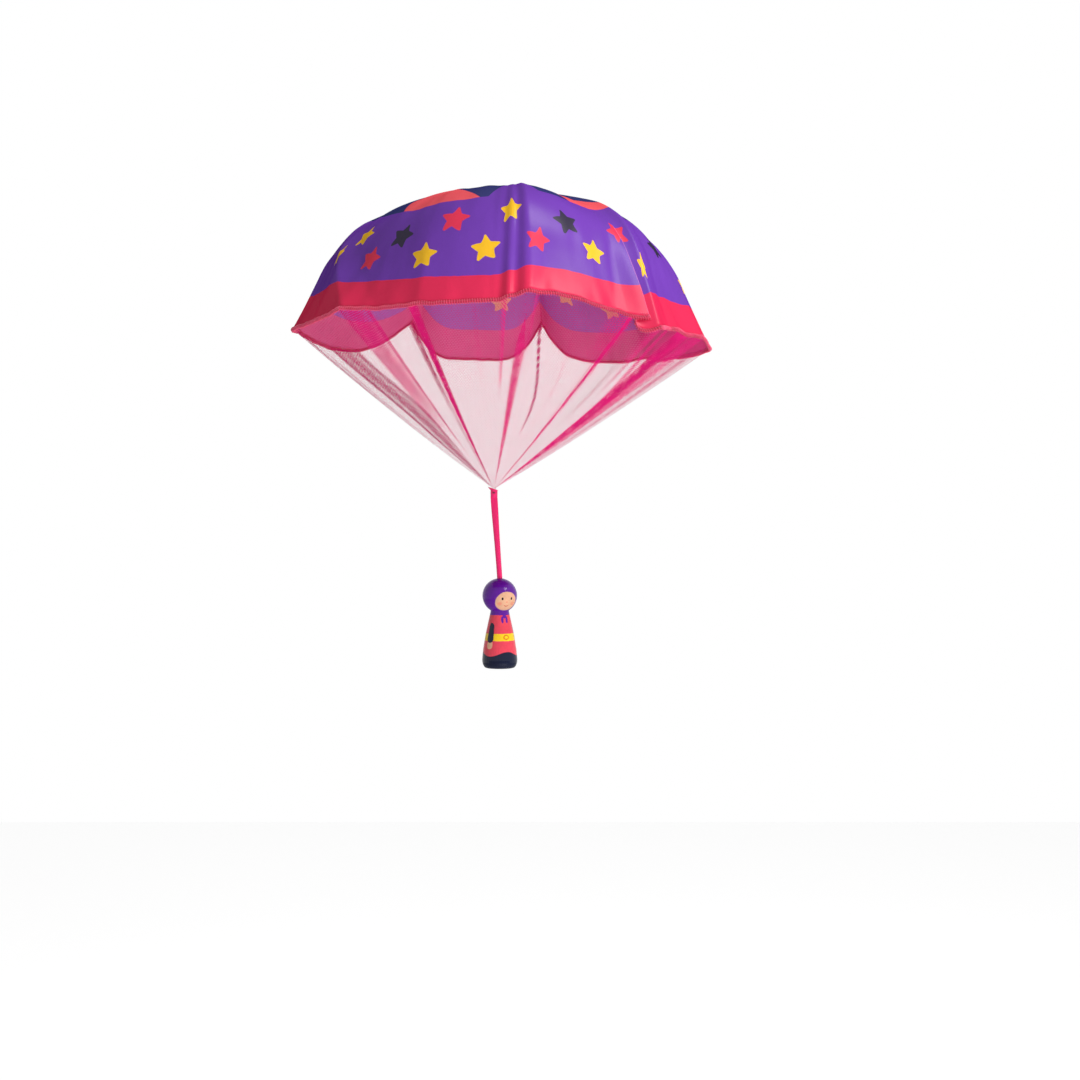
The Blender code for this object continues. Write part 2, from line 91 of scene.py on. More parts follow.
# Folds run from the crown to the hem. Azimuths are in degrees from the front, towards +X; a
# slanted fold's azimuth changes by that many degrees over the way from the hem to the crown.
# The half widths are those towards lower and towards higher azimuths.
Fold = namedtuple(
    "Fold", "azimuth before after sharpness depth_share rise_share start_share slant", defaults=(0.0,)
)
FOLDS = (
    Fold(-149.3, 14, 30, 2.65, 0.060, 0.26, 0.35),
    Fold(-97, 10, 10, 1.6, 0.030, 0, 0.40),
    Fold(-40.2, 15, 10, 1.3, 0.036, 0, 0.30, -66),
    Fold(6.6, 8, 18, 1.25, 0.031, 0.01, 0.10),
    Fold(40, 9, 9, 1.4, 0.070, 0.01, 0.10, 3),
    Fold(92, 10, 10, 1.6, 0.025, 0, 0.40),
    Fold(132, 9, 9, 1.6, 0.020, 0.02, 0.50),
    Fold(170, 24, 16, 3.6, 0.060, 0.30, 0.35),
    # Finer folds, which the solid leaves out
    Fold(1.2, 2, 2, 1.2, -0.009, 0, 0.15, 1),
    Fold(3, 1.5, 1.5, 1.2, 0.006, 0, 0.15, 1),
    Fold(5, 2.2, 2.2, 1.1, -0.012, 0, 0.15, -1),
    Fold(8.4, 2.4, 3.5, 1.2, 0.007, 0, 0.15, -3),
    Fold(66, 9, 9, 1.3, 0.016, 0, 0.40, 10),
    Fold(-19, 12, 12, 1.5, 0.010, 0, 0.45),
)

# Swells: the cloth stands proud round an azimuth and a share of the way from crown to hem
Swell = namedtuple("Swell", "azimuth half_width share half_share height")
SWELLS = (
    Swell(0, 66, 0.67, 0.35, 0.0120),
    Swell(5, 24, 0.68, 0.36, 0.0030),
    Swell(-14, 15, 0.64, 0.34, 0.0028),
    Swell(56, 20, 0.62, 0.30, 0.0034),
    Swell(-92, 40, 0.74, 0.26, 0.0038),
)

# Stretches of cloth whose hem hangs lower than the rest, or higher where the share is negative
Sag = namedtuple("Sag", "azimuth half_width drop_share")
SAGS = (
    Sag(-115, 30, 0.040),
    Sag(-62, 40, 0.085),
    Sag(-25, 35, 0.045),
    Sag(15.5, 18, -0.048),
    Sag(38.5, 8, 0.062),
    Sag(58, 20, 0.030),
    Sag(95, 60, 0.040),
    Sag(115, 45, -0.030),
    Sag(170, 50, -0.045),
)

# Laps: places where a cloth doubles back under itself, in three layers. The half width is in
# degrees; the lift is half the height of the stack; the lowest layer hangs down by the drop.
# Shares of the way down tell where a lap closes, and where it opens again.
ALWAYS = (-2.0, -1.0)
NEVER = (2.0, 3.0)
Lap = namedtuple("Lap", "azimuth half_width lift drop closes opens", defaults=(0.0, ALWAYS, NEVER))
CANOPY_LAPS = (
    Lap(36.9, 1.8, 0.0012, drop=0.0090, closes=(0.45, 0.95)),
    Lap(-149.3, 1.4, 0.0013, closes=(0.60, 1.00)),
    Lap(170, 1.2, 0.0013, closes=(0.60, 1.00)),
)
# The lowest layer and the cloth beside it hang down, and the middle layer is tucked up. The
# shares are of the way to the hem, and of the way through the lap.
LAP_HANGS = (0.6, 1.0)
LAP_LOWEST = (0.5, 0.85)
LAP_DROP_FADE_DEG = 14.0
LAP_TUCK = 0.0036
LAP_MARGIN = 1.6
LAP_STEPS = 7
CANOPY_COLUMN_DEG = 0.6
CANOPY_ROWS = 92
CLOTH_THICKNESS = 0.00032
SURFACE_STEP = 0.01

# Wrinkles: height, cells of noise round the cloth and from crown to hem
WRINKLES = ((0.00120, 5.5, 2.2), (0.00055, 13.0, 5.0))
WRINKLE_ONSET = 3.0
# The hem ripples in and out and waves up and down: height, cells of noise round it, their level
HEM_RIPPLE = (0.0009, 15.0, 0.3)
HEM_WAVE = (0.0008, 20.0, 0.7)
HEM_RIPPLE_SHARE = 0.10

# The print, by distance from the hem
PINK_BAND = 0.0235
# Where the edge of a printed colour runs off its even distance: azimuth, half width in degrees
# and the most it runs off
BAND_CHANGES = ((-4.0, 58.0, -0.0066), (180.0, 70.0, 0.0028))
CROWN_CHANGES = ((-14.0, 55.0, -0.0185),)
NAVY_EDGE = 0.0870
# The purple reaches up to a point at the front: azimuth, half width in degrees and height
CROWN_PEAK = (3.8, 7.5, 0.034)
PRINT_EDGE = 0.00015
PRINT_UNEVEN = 0.0012
PRINT_UNEVEN_SCALE = 90.0
# The crown's blades, whose bend and half width are in radians a metre from the crown
BLADES = 6
BLADE_TURN_DEG = -2.4
BLADE_BEND = 6.0
BLADE_WIDTH = 1.9
BLADE_EDGE = 0.004
# A star's shares are of its radius
STAR_ARMS = 5
STAR_RADIUS = 0.0098
STAR_WAIST_SHARE = 0.51
STAR_TIP_SHARE = 0.88
STAR_TIP_ROUND = 0.10
STAR_WOBBLE = (0.34, 0.34, 0.0)
STAR_WOBBLE_SCALE = 0.9
STAR_EDGE = 0.02
YELLOW, DARK, RED = 0.0, 0.5, 1.0
# A star is printed that many times slimmer than even. By the front ridge and the lap the cloth is
# gathered sideways; at the left crease (-56) and under the lap (40.6) only a sliver of one shows.
Star = namedtuple("Star", "azimuth from_hem turn colour slim", defaults=(1.0,))
STARS = (
    Star(-48, 0.0594, 12, YELLOW), Star(-28.5, 0.0489, 20, DARK), Star(-12, 0.0529, 8, RED),
    Star(-3, 0.0334, -6, YELLOW), Star(-19.5, 0.0316, 4, YELLOW), Star(-38.8, 0.0373, 16, RED),
    Star(3, 0.0560, 0, YELLOW, 1.5), Star(10, 0.0352, 10, RED, 1.2), Star(18.5, 0.0529, -22, DARK),
    Star(26.5, 0.0387, 6, YELLOW, 1.1), Star(36.8, 0.0605, -18, RED, 1.3),
    Star(59.5, 0.0635, -20, DARK, 0.8), Star(-56, 0.0462, 0, YELLOW, 3.2),
    Star(-80, 0.0650, 14, RED), Star(-87, 0.0390, -8, DARK),
    Star(-97, 0.0560, 22, YELLOW), Star(-104, 0.0370, 3, RED), Star(-115, 0.0650, -12, DARK),
    Star(-122, 0.0450, 10, YELLOW), Star(-134, 0.0620, 0, RED), Star(-141, 0.0400, 18, DARK),
    Star(-151, 0.0640, -9, YELLOW), Star(-162, 0.0680, 12, RED), Star(-177, 0.0720, -20, DARK),
    Star(-177, 0.0500, 5, YELLOW), Star(40.6, 0.0385, 14, YELLOW, 3.4), Star(73.5, 0.0400, 9, YELLOW),
    Star(78, 0.0650, -8, RED), Star(90, 0.0500, 16, DARK), Star(101, 0.0640, 2, YELLOW),
    Star(106, 0.0390, -14, RED), Star(119, 0.0560, 20, DARK), Star(140, 0.0430, 6, YELLOW),
    Star(133, 0.0660, -10, RED), Star(148, 0.0700, 12, DARK), Star(158, 0.0550, 0, YELLOW),
    Star(170, 0.0730, -16, RED),
)

# The overlock: a core of thread along the hem with a thread wound round it. Core and loops have
# a half width and a half height.
OVERLOCK_DROP = 0.0011
OVERLOCK_CORE_SIDES = 10
OVERLOCK_CORE = (0.00050, 0.00095)
OVERLOCK_LOOP = (0.00092, 0.00148)
OVERLOCK_PITCH = 0.0016
OVERLOCK_THREAD = 0.00029
OVERLOCK_THREAD_SIDES = 5
OVERLOCK_LOOP_STEPS = 9
OVERLOCK_UNEVEN = 0.22
OVERLOCK_UNEVEN_CELLS = 400.0
TINY = 1e-9

# The net: a round piece of tulle, sewn to the hem at its rim and tied at its middle
NET_FLAT_RADIUS = 0.190
NET_ROWS = 64
NET_COLUMN_DEG = 0.6
NET_GATHER_RADIUS = 0.0016
NET_NECK_RADIUS = 0.0007
NET_TIP_RISE = 0.0022
NET_HEM_INSET = 0.0004
NET_SWELL = 0.0032
# Height and cells of noise round the net and down it
NET_RUMPLE = (0.0012, 4.0, 1.5)
NET_PITCH = 0.0018
NET_THREAD_HALF = 0.000088
# The laps' lift grows over the net's first twelfth and shrinks by this share towards its tip
NET_LAP_ONSET = 12.0
NET_LAP_LOSS = 0.8
NET_LAPS = (
    Lap(-149, 1.2, 0.0009),
    Lap(-96, 2, 0.0007, opens=(0.2, 1.0)),
    Lap(-68, 1.4, 0.0007, closes=(0.0, 0.3), opens=(0.5, 1.0)),
    Lap(-20, 1.2, 0.0010),
    Lap(8, 1.6, 0.0009, closes=(0.0, 0.30)),
    Lap(34.6, 0.4, 0.0006),
    Lap(57, 3.4, 0.0010),
    Lap(108, 2.6, 0.0008, opens=(0.3, 1.0)),
)
# Pleats, where the net lies bunched: azimuth at the hem, half widths in degrees, layers added, the
# shares of the way down where one fades and sets in, and the turn it drifts by down to a share
Pleat = namedtuple(
    "Pleat", "azimuth before after layers fades sets_in drift drifted", defaults=(NEVER, ALWAYS, 0.0, 1.0)
)
PLEATS = (
    Pleat(-20.2, 2, 1.6, 5.5),
    Pleat(-37, 6, 5, 6.5, (0.35, 0.70)),
    Pleat(-41, 1.1, 1.1, 4, (0.40, 0.70), drift=1, drifted=0.5),
    Pleat(-32.8, 1.2, 0.9, 8, (0.60, 0.85)),
    Pleat(-115.5, 3.6, 1.6, 8, drift=-6, drifted=0.6),
    Pleat(-121, 7, 5.5, 6.5, drift=-8, drifted=0.6),
    Pleat(-127, 1.8, 1.8, 6, (0.60, 0.90), drift=-8, drifted=0.6),
    Pleat(-104, 1, 0.8, 1.6, (0.5, 0.9), drift=-6, drifted=0.4),
    Pleat(-72, 2.2, 1.4, 1.6, (0.3, 0.8)),
    Pleat(-5, 0.6, 0.6, 1, (0.30, 0.60)),
    Pleat(2.2, 0.6, 0.6, 6, (0.35, 0.50)),
    Pleat(8, 2.8, 2.6, 2.4, (0.5, 1.3), sets_in=(0.0, 0.3)),
    Pleat(10, 0.8, 0.8, 2.4, (0.20, 0.40)),
    Pleat(22, 0.9, 0.6, 1.1, (0.5, 0.9), sets_in=(0.1, 0.3), drift=4, drifted=0.5),
    Pleat(32, 4, 3.4, 1.8, (0.08, 0.30), drift=1, drifted=0.4),
    Pleat(34.6, 1.8, 1.7, 3.4),
    Pleat(41, 4.6, 2.4, 4, (0.18, 0.45), drift=4, drifted=0.4),
    Pleat(48, 2.4, 1.8, 6, (0.60, 0.95), drift=6, drifted=0.5),
    Pleat(57, 8, 6.5, 4.6, drift=2, drifted=0.6),
    Pleat(66, 6.5, 5, 6.5, (0.5, 0.9), drift=-3, drifted=0.5),
    Pleat(76, 14, 12, 1.8),
    Pleat(114, 1.6, 1, 2.2, drift=4, drifted=0.4),
    Pleat(142, 2.6, 1, 1.4, (0.3, 0.7)),
    Pleat(170, 0.5, 0.5, 16, (0.45, 0.70), drift=-6, drifted=0.5),
    Pleat(-149, 1.4, 1.4, 2, (0.2, 0.6)),
    Pleat(-92, 1, 1, 4),
    Pleat(94, 1, 1, 4),
)
NET_LAP_MARGIN = 1.0

# The tie, the ribbon and the doll, as in the part's source
RIBBON_WIDTH = 0.0050
RIBBON_THICKNESS = 0.0005
BALL_RADIUS = 0.0016
WRAP_WALL = 0.00065
WRAP_POCKET_RADIUS = BALL_RADIUS + 0.0003
WRAP_RADIUS = WRAP_POCKET_RADIUS + WRAP_WALL
WRAP_NECK_RADIUS = 0.0013
WRAP_NECK_HEIGHT = math.sqrt(WRAP_POCKET_RADIUS**2 - WRAP_NECK_RADIUS**2)
WRAP_TAIL_DROP = WRAP_RADIUS + 0.00145
WRAP_TAIL_HALF_DEPTH = 0.0006
WRAP_SIDES = 64
WRAP_PUCKERS = 7.0
WRAP_POCKET_STEPS = 10
# Rings of the folded ribbon: height, width and depth as shares, tilt and pucker
WRAP_RINGS = (
    (-0.85 * WRAP_TAIL_DROP, 0.99, 0.36, 0.0, 0.03),
    (-0.70 * WRAP_TAIL_DROP, 0.98, 0.55, 0.0, 0.03),
    (-0.50 * WRAP_TAIL_DROP, 0.98, 0.76, 0.0, 0.03),
    (-0.35 * WRAP_TAIL_DROP, 1.00, 0.90, 0.0, 0.03),
    (-0.15 * WRAP_TAIL_DROP, 1.00, 0.98, 0.0, 0.03),
    (0.0, 1.00, 1.00, 0.0, 0.03),
    (0.50 * WRAP_NECK_HEIGHT, 0.985, 0.96, 0.0, 0.03),
    (WRAP_NECK_HEIGHT, 0.97, 0.92, 0.0003, 0.04),
)
# Its end flares over the neck: rise and share of the whole flare
FLARE_RINGS = ((0.0005, 0.3), (0.0010, 0.68), (0.0014, 1.0))
FLARE_WIDTH = 0.00125
FLARE_DEPTH = 0.00045
FLARE_TILT = 0.0012
FLARE_SHIFT = -0.0007
FLARE_PUCKER = 0.05
TACK_LENGTH = 0.0017
TACK_LOOP = (0.00014, 0.00032)
TACK_PROUD = 0.0005
TACK_DROP = 0.0004
TACK_STEPS = 96
TACK_TURN_STEPS = 8
TACK_THREAD = 0.00009
TACK_THREAD_SIDES = 6
RIBBON_IN_BORE = 0.0100
RIBBON_FLAT_ANGLE_DEG = 6.0
RIBBON_ROLL_ANGLE_DEG = 80.0
RIBBON_ROLL_POWER = 3.0
RIBBON_ROWS = 90
RIBBON_RUN_STEPS = 12
RIBBON_TUCK = 0.0013
RIBBON_SECTION_POINTS = 15
RIBBON_SELVEDGE_START = 0.8
RIBBON_MIDDLE_FULLNESS = 0.62
DOLL_HEIGHT = 0.0650
HEAD_RADIUS = 0.0126
DOLL_FACING_DEG = 28.0

# The doll's paint, by height over its base
PAINT_EDGE = 0.00012
BRUSH_SHAKE = (0.0008, 0.0008, 0.0008)
BRUSH_SHAKE_SCALE = 160.0
TROUSER_TOP = 0.0106
TROUSER_WAVE = 0.0016
TROUSER_WAVES = 3.0
BELT_HEIGHT = 0.0227
BELT_HALF = 0.0026
HOOD_HEIGHT = 0.0386
FACE_HEIGHT = DOLL_HEIGHT - HEAD_RADIUS - 0.0036
# Sleeves and hands: their angle from the front, the body's radius there, and each one's lowest
# and highest middle and its radius
ARM_DEG = 66.0
ARM_REACH = 0.0110
ARM_EDGE = 0.00015
HAND = (0.0164, 0.0180, 0.0023)
SLEEVE = (0.0214, 0.0302, 0.0027)


def srgb(red, green, blue):
    """A linear colour from 0-255 screen values."""
    linear = []
    for part in (red, green, blue):
        share = part / 255.0
        linear.append(share / 12.92 if share <= 0.04045 else ((share + 0.055) / 1.055) ** 2.4)
    return (*linear, 1.0)


PINK = srgb(230, 42, 86)
PURPLE = srgb(114, 60, 176)
NAVY = srgb(50, 54, 112)
CORAL = srgb(250, 92, 102)
STAR_YELLOW = srgb(255, 196, 40)
STAR_DARK = srgb(50, 42, 66)
STAR_RED = srgb(238, 56, 88)
# The inner side's paler colour: partly the print's paler reverse side, partly painted light standing in for
# light that comes through the thin cloth.
PALE_REVERSE_AND_PAINTED_LIGHT = srgb(250, 170, 225)
PALE_REVERSE_AND_PAINTED_LIGHT_SHARE = 0.37
# The core's red is darker than the loops' pink: painted shade for the gaps between the loops.
OVERLOCK_CORE_PAINTED_SHADE = srgb(206, 28, 72)
OVERLOCK_PINK = srgb(246, 76, 122)
NET_PINK = srgb(236, 30, 124)
TIE_PINK = srgb(214, 48, 104)
TACK_RED = srgb(120, 16, 48)
RIBBON_PINK = srgb(250, 26, 114)
SUIT = srgb(236, 70, 90)
DOLL_NAVY = srgb(14, 22, 50)
SKIN = srgb(236, 182, 146)
HOOD = srgb(98, 16, 156)
BELT = srgb(255, 214, 30)
BUCKLE = srgb(226, 140, 24)
EYE = srgb(34, 20, 24)
CHEEK = srgb(240, 130, 110)
MOUTH = srgb(196, 70, 62)

# Round spots of paint on the doll's front, the same at both sides of its middle
Spot = namedtuple("Spot", "across height half_width half_height colour soft strength", defaults=(0.04, 1.0))
SPOTS = (
    Spot(0.0, BELT_HEIGHT, 0.0024, 0.0019, BUCKLE, 0.06),
    Spot(0.0, BELT_HEIGHT, 0.0014, 0.0010, BELT, 0.10),
    Spot(0.0, 0.0376, 0.0015, 0.0015, HOOD),
    Spot(0.0017, 0.0352, 0.0009, 0.0025, HOOD),
    Spot(0.0, FACE_HEIGHT, 0.0080, 0.0068, SKIN),
    Spot(0.0050, FACE_HEIGHT - 0.0018, 0.0015, 0.0013, CHEEK, 0.5, 0.6),
    Spot(0.0036, FACE_HEIGHT + 0.0018, 0.0008, 0.0010, EYE),
    Spot(0.0, FACE_HEIGHT - 0.0006, 0.00055, 0.00045, CHEEK),
)
SMILE = Spot(0.0, FACE_HEIGHT - 0.0022, 0.0021, 0.0017, MOUTH)
ABOVE_SMILE = Spot(0.0, FACE_HEIGHT - 0.0017, 0.0023, 0.0017, SKIN)


def smoothstep(value):
    value = min(max(value, 0.0), 1.0)
    return value * value * (3.0 - 2.0 * value)


def ramp(share, span):
    """0 before a span of shares and 1 past it."""
    return smoothstep((share - span[0]) / (span[1] - span[0]))


def signed_turn(azimuth, other):
    """The angle to an azimuth from another, in degrees, from -180 to 180."""
    return (azimuth - other + 180.0) % 360.0 - 180.0


def turn_between(azimuth, other):
    """The angle between two azimuths, in degrees, never negative."""
    return abs(signed_turn(azimuth, other))


def share_away(azimuth, middle, form):
    """How far an azimuth lies from a form's middle, as a share of its half width on that side."""
    away = signed_turn(azimuth, middle)
    return away / form.after if away > 0.0 else -away / form.before


def heading(azimuth):
    """The level direction of an azimuth."""
    angle = math.radians(azimuth)
    return Vector((math.sin(angle), -math.cos(angle), 0.0))


def smooth_run(points, steps, before=None):
    """A smooth run through the points, each stretch cut into steps."""
    before = before or points[0] * 2.0 - points[1]
    padded = [before, *points, points[-1] * 2.0 - points[-2]]
    run = []
    for first, start, end, last in zip(padded, padded[1:], padded[2:], padded[3:]):
        for step in range(steps):
            t = step / steps
            bend = first * 2.0 - start * 5.0 + end * 4.0 - last
            curl = start * 3.0 - first - end * 3.0 + last
            run.append((start * 2.0 + (end - first) * t + bend * t * t + curl * t**3) * 0.5)
    run.append(points[-1])
    return run


def run_length(run):
    return sum((b - a).length for a, b in zip(run, run[1:]))


def point_along(run, share):
    """The point at a share of the run's length, and the run's direction there."""
    left = share * run_length(run)
    for start, end in zip(run, run[1:]):
        length = (end - start).length
        if left <= length or end is run[-1]:
            return start.lerp(end, left / length), (end - start).normalized()
        left -= length


def canopy_outline():
    """The cloth's unfolded outline from crown to hem, as points of (radius, height)."""
    points = [Vector((r * CANOPY_RADIUS, -drop * CANOPY_HEIGHT)) for r, drop in OUTLINE_SHARES]
    return smooth_run(points, OUTLINE_STEPS, before=Vector((-points[1].x, points[1].y)))


CANOPY_OUTLINE = canopy_outline()
CANOPY_ARC = run_length(CANOPY_OUTLINE)
LEAN = Matrix.Rotation(math.radians(CANOPY_LEAN_DEG), 3, "Y")


@lru_cache(maxsize=None)
def outline_at(share):
    return point_along(CANOPY_OUTLINE, share)


Column = namedtuple("Column", "open_azimuth lapped_azimuth lift lap")


def lap_span(lap, margin):
    return lap.azimuth - lap.half_width - margin, lap.azimuth + lap.half_width + margin


def lap_columns(lap, margin):
    """The columns through one lap: over its far edge, back under it and on."""
    first, last = lap_span(lap, margin)
    middle, far, near = lap.azimuth, lap.azimuth + lap.half_width, lap.azimuth - lap.half_width
    knots = (first, 0.0), (middle, 1.0), (far, 0.5), (middle, 0.0), (near, -0.5), (middle, -1.0), (last, 0.0)
    run = smooth_run([Vector(knot) for knot in knots], LAP_STEPS)[1:-1]
    columns = []
    for step, point in enumerate(run):
        opened = first + (last - first) * (step + 1) / (len(run) + 1)
        columns.append(Column(opened, point.x, point.y * lap.lift, lap))
    return first, last, columns


def cloth_columns(laps, step, margin):
    """Columns all the way round a cloth, evenly spaced between its laps."""
    laps = sorted(laps, key=lambda lap: lap.azimuth)
    columns = []
    spans = [lap_columns(lap, margin) for lap in laps]
    for (_, last, inner), (following, _, _) in zip(spans, spans[1:] + spans[:1]):
        columns += inner
        gap = (following - last) % 360.0
        count = max(2, round(gap / step))
        for k in range(count + 1):
            azimuth = last + gap * k / count
            columns.append(Column(azimuth, azimuth, 0.0, None))
    return columns


def lapped(column, share):
    """A column's azimuth and lift at a share of its way, as its lap closes."""
    if column.lap is None:
        return column.open_azimuth, 0.0
    closed = ramp(share, column.lap.closes) * (1.0 - ramp(share, column.lap.opens))
    drawn = (column.lapped_azimuth - column.open_azimuth) * closed
    return column.open_azimuth + drawn, column.lift * closed


def hung_layer(column, share):
    """How far a lap's lower layer, and the cloth just past it, hangs down at the hem."""
    hung = 0.0
    grown = ramp(share, LAP_HANGS)
    for lap in CANOPY_LAPS:
        first, last = lap_span(lap, LAP_MARGIN)
        past = signed_turn(column.open_azimuth, first)
        if past < 0.0:
            continue
        if column.lap:
            from_middle = abs(2.0 * past / (last - first) - 1.0)
            hung -= LAP_TUCK * smoothstep(1.0 - 3.0 * from_middle) * grown
        fade = 1.0 - smoothstep((past - (last - first)) / LAP_DROP_FADE_DEG)
        hung += lap.drop * ramp(past / (last - first), LAP_LOWEST) * fade * grown
    return hung


def noise_round(azimuth, share, cells, rows):
    angle = math.radians(azimuth)
    return noise.noise(Vector((math.cos(angle) * cells, math.sin(angle) * cells, share * rows)))


def canopy_point(column, share):
    """The cloth's outer side, by its column and by share of the way from crown to hem."""
    azimuth, lift = lapped(column, share)
    place, direction = outline_at(share)
    outward = Vector((-direction.y, direction.x))
    push = lift
    rise = 0.0
    for fold in FOLDS:
        away = share_away(azimuth, fold.azimuth + fold.slant * (1.0 - share), fold)
        if away < 1.0:
            strength = ramp(share, (fold.start_share, 1.0)) * (1.0 - away) ** fold.sharpness
            push += strength * fold.depth_share * CANOPY_RADIUS
            rise += strength * share * fold.rise_share * CANOPY_HEIGHT
    for sag in SAGS:
        hung = smoothstep(1.0 - turn_between(azimuth, sag.azimuth) / sag.half_width)
        rise -= hung * share**2 * sag.drop_share * CANOPY_HEIGHT
    for swell in SWELLS:
        near = smoothstep(1.0 - turn_between(azimuth, swell.azimuth) / swell.half_width)
        push += swell.height * near * smoothstep(1.0 - abs(share - swell.share) / swell.half_share)
    opened = column.open_azimuth
    for height, cells, rows in WRINKLES:
        push += height * smoothstep(share * WRINKLE_ONSET) * noise_round(opened, share, cells, rows)
    near_hem = smoothstep(1.0 - (1.0 - share) / HEM_RIPPLE_SHARE)
    ripple, wave = (
        near_hem * height * noise_round(opened, level, cells, 1.0)
        for height, cells, level in (HEM_RIPPLE, HEM_WAVE)
    )
    place = place + outward * (push + ripple) + direction * (wave + hung_layer(column, share))
    place += Vector((0.0, rise))
    return LEAN @ (heading(azimuth) * place.x + Vector((0.0, 0.0, place.y)))


def add_object(name, data):
    made = bpy.data.objects.new(name, data)
    bpy.context.scene.collection.objects.link(made)
    return made


def add_piece(name, shape, materials, body=None):
    """A smooth-shaded piece from a bmesh or mesh, which rides on a body."""
    mesh = shape
    if isinstance(shape, bmesh.types.BMesh):
        mesh = bpy.data.meshes.new(name)
        shape.to_mesh(mesh)
        shape.free()
    mesh.name = name
    mesh.shade_smooth()
    for material in materials:
        mesh.materials.append(material)
    made = add_object(name, mesh)
    if body:
        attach(made, body)
    return made


def grid_mesh(name, rows, pole=None, pole_last=False):
    """A mesh over closed rows of points, with one end closed by a pole."""
    count = len(rows[0])
    points = [point for row in rows for point in row]
    faces = []
    for r in range(len(rows) - 1):
        for i in range(count):
            j = (i + 1) % count
            faces.append((r * count + i, r * count + j, (r + 1) * count + j, (r + 1) * count + i))
    if pole is not None:
        tip = len(points)
        points.append(pole)
        base = (len(rows) - 1) * count if pole_last else 0
        for i in range(count):
            j = (i + 1) % count
            pair = (base + i, base + j) if pole_last else (base + j, base + i)
            faces.append((*pair, tip))
    mesh = bpy.data.meshes.new(name)
    mesh.from_pydata(points, [], faces)
    return mesh


def tube(path, radius, sides, closed):
    """A bmesh tube along a path of points, with round ends unless it is closed."""
    shape = bmesh.new()
    rings = []
    count = len(path)
    side = None
    for i, place in enumerate(path):
        before = path[i - 1] if closed or i else place
        after = path[(i + 1) % count] if closed or i < count - 1 else place
        along = (after - before).normalized()
        side = along.orthogonal() if side is None else side - along * side.dot(along)
        side.normalize()
        other = along.cross(side)
        ring = []
        for k in range(sides):
            angle = math.tau * k / sides
            out = side * math.cos(angle) + other * math.sin(angle)
            ring.append(shape.verts.new(place + out * radius))
        rings.append(ring)
    pairs = list(zip(rings, rings[1:]))
    if closed:
        pairs.append((rings[-1], rings[0]))
    else:
        shape.faces.new(rings[0][::-1])
        shape.faces.new(rings[-1])
    for ring, following in pairs:
        for k in range(sides):
            m = (k + 1) % sides
            shape.faces.new((ring[k], ring[m], following[m], following[k]))
    return shape


def loft(rings, ring_closed=False):
    """A bmesh skin over rings of points, capped at both ends, or closed into a ring of rings."""
    shape = bmesh.new()
    rows = [[shape.verts.new(point) for point in ring] for ring in rings]
    pairs = list(zip(rows, rows[1:]))
    if ring_closed:
        pairs.append((rows[-1], rows[0]))
    else:
        shape.faces.new(rows[0])
        shape.faces.new(rows[-1])
    for row, after in pairs:
        for i in range(len(row)):
            j = (i + 1) % len(row)
            shape.faces.new((row[i], row[j], after[j], after[i]))
    bmesh.ops.recalc_face_normals(shape, faces=shape.faces)
    return shape


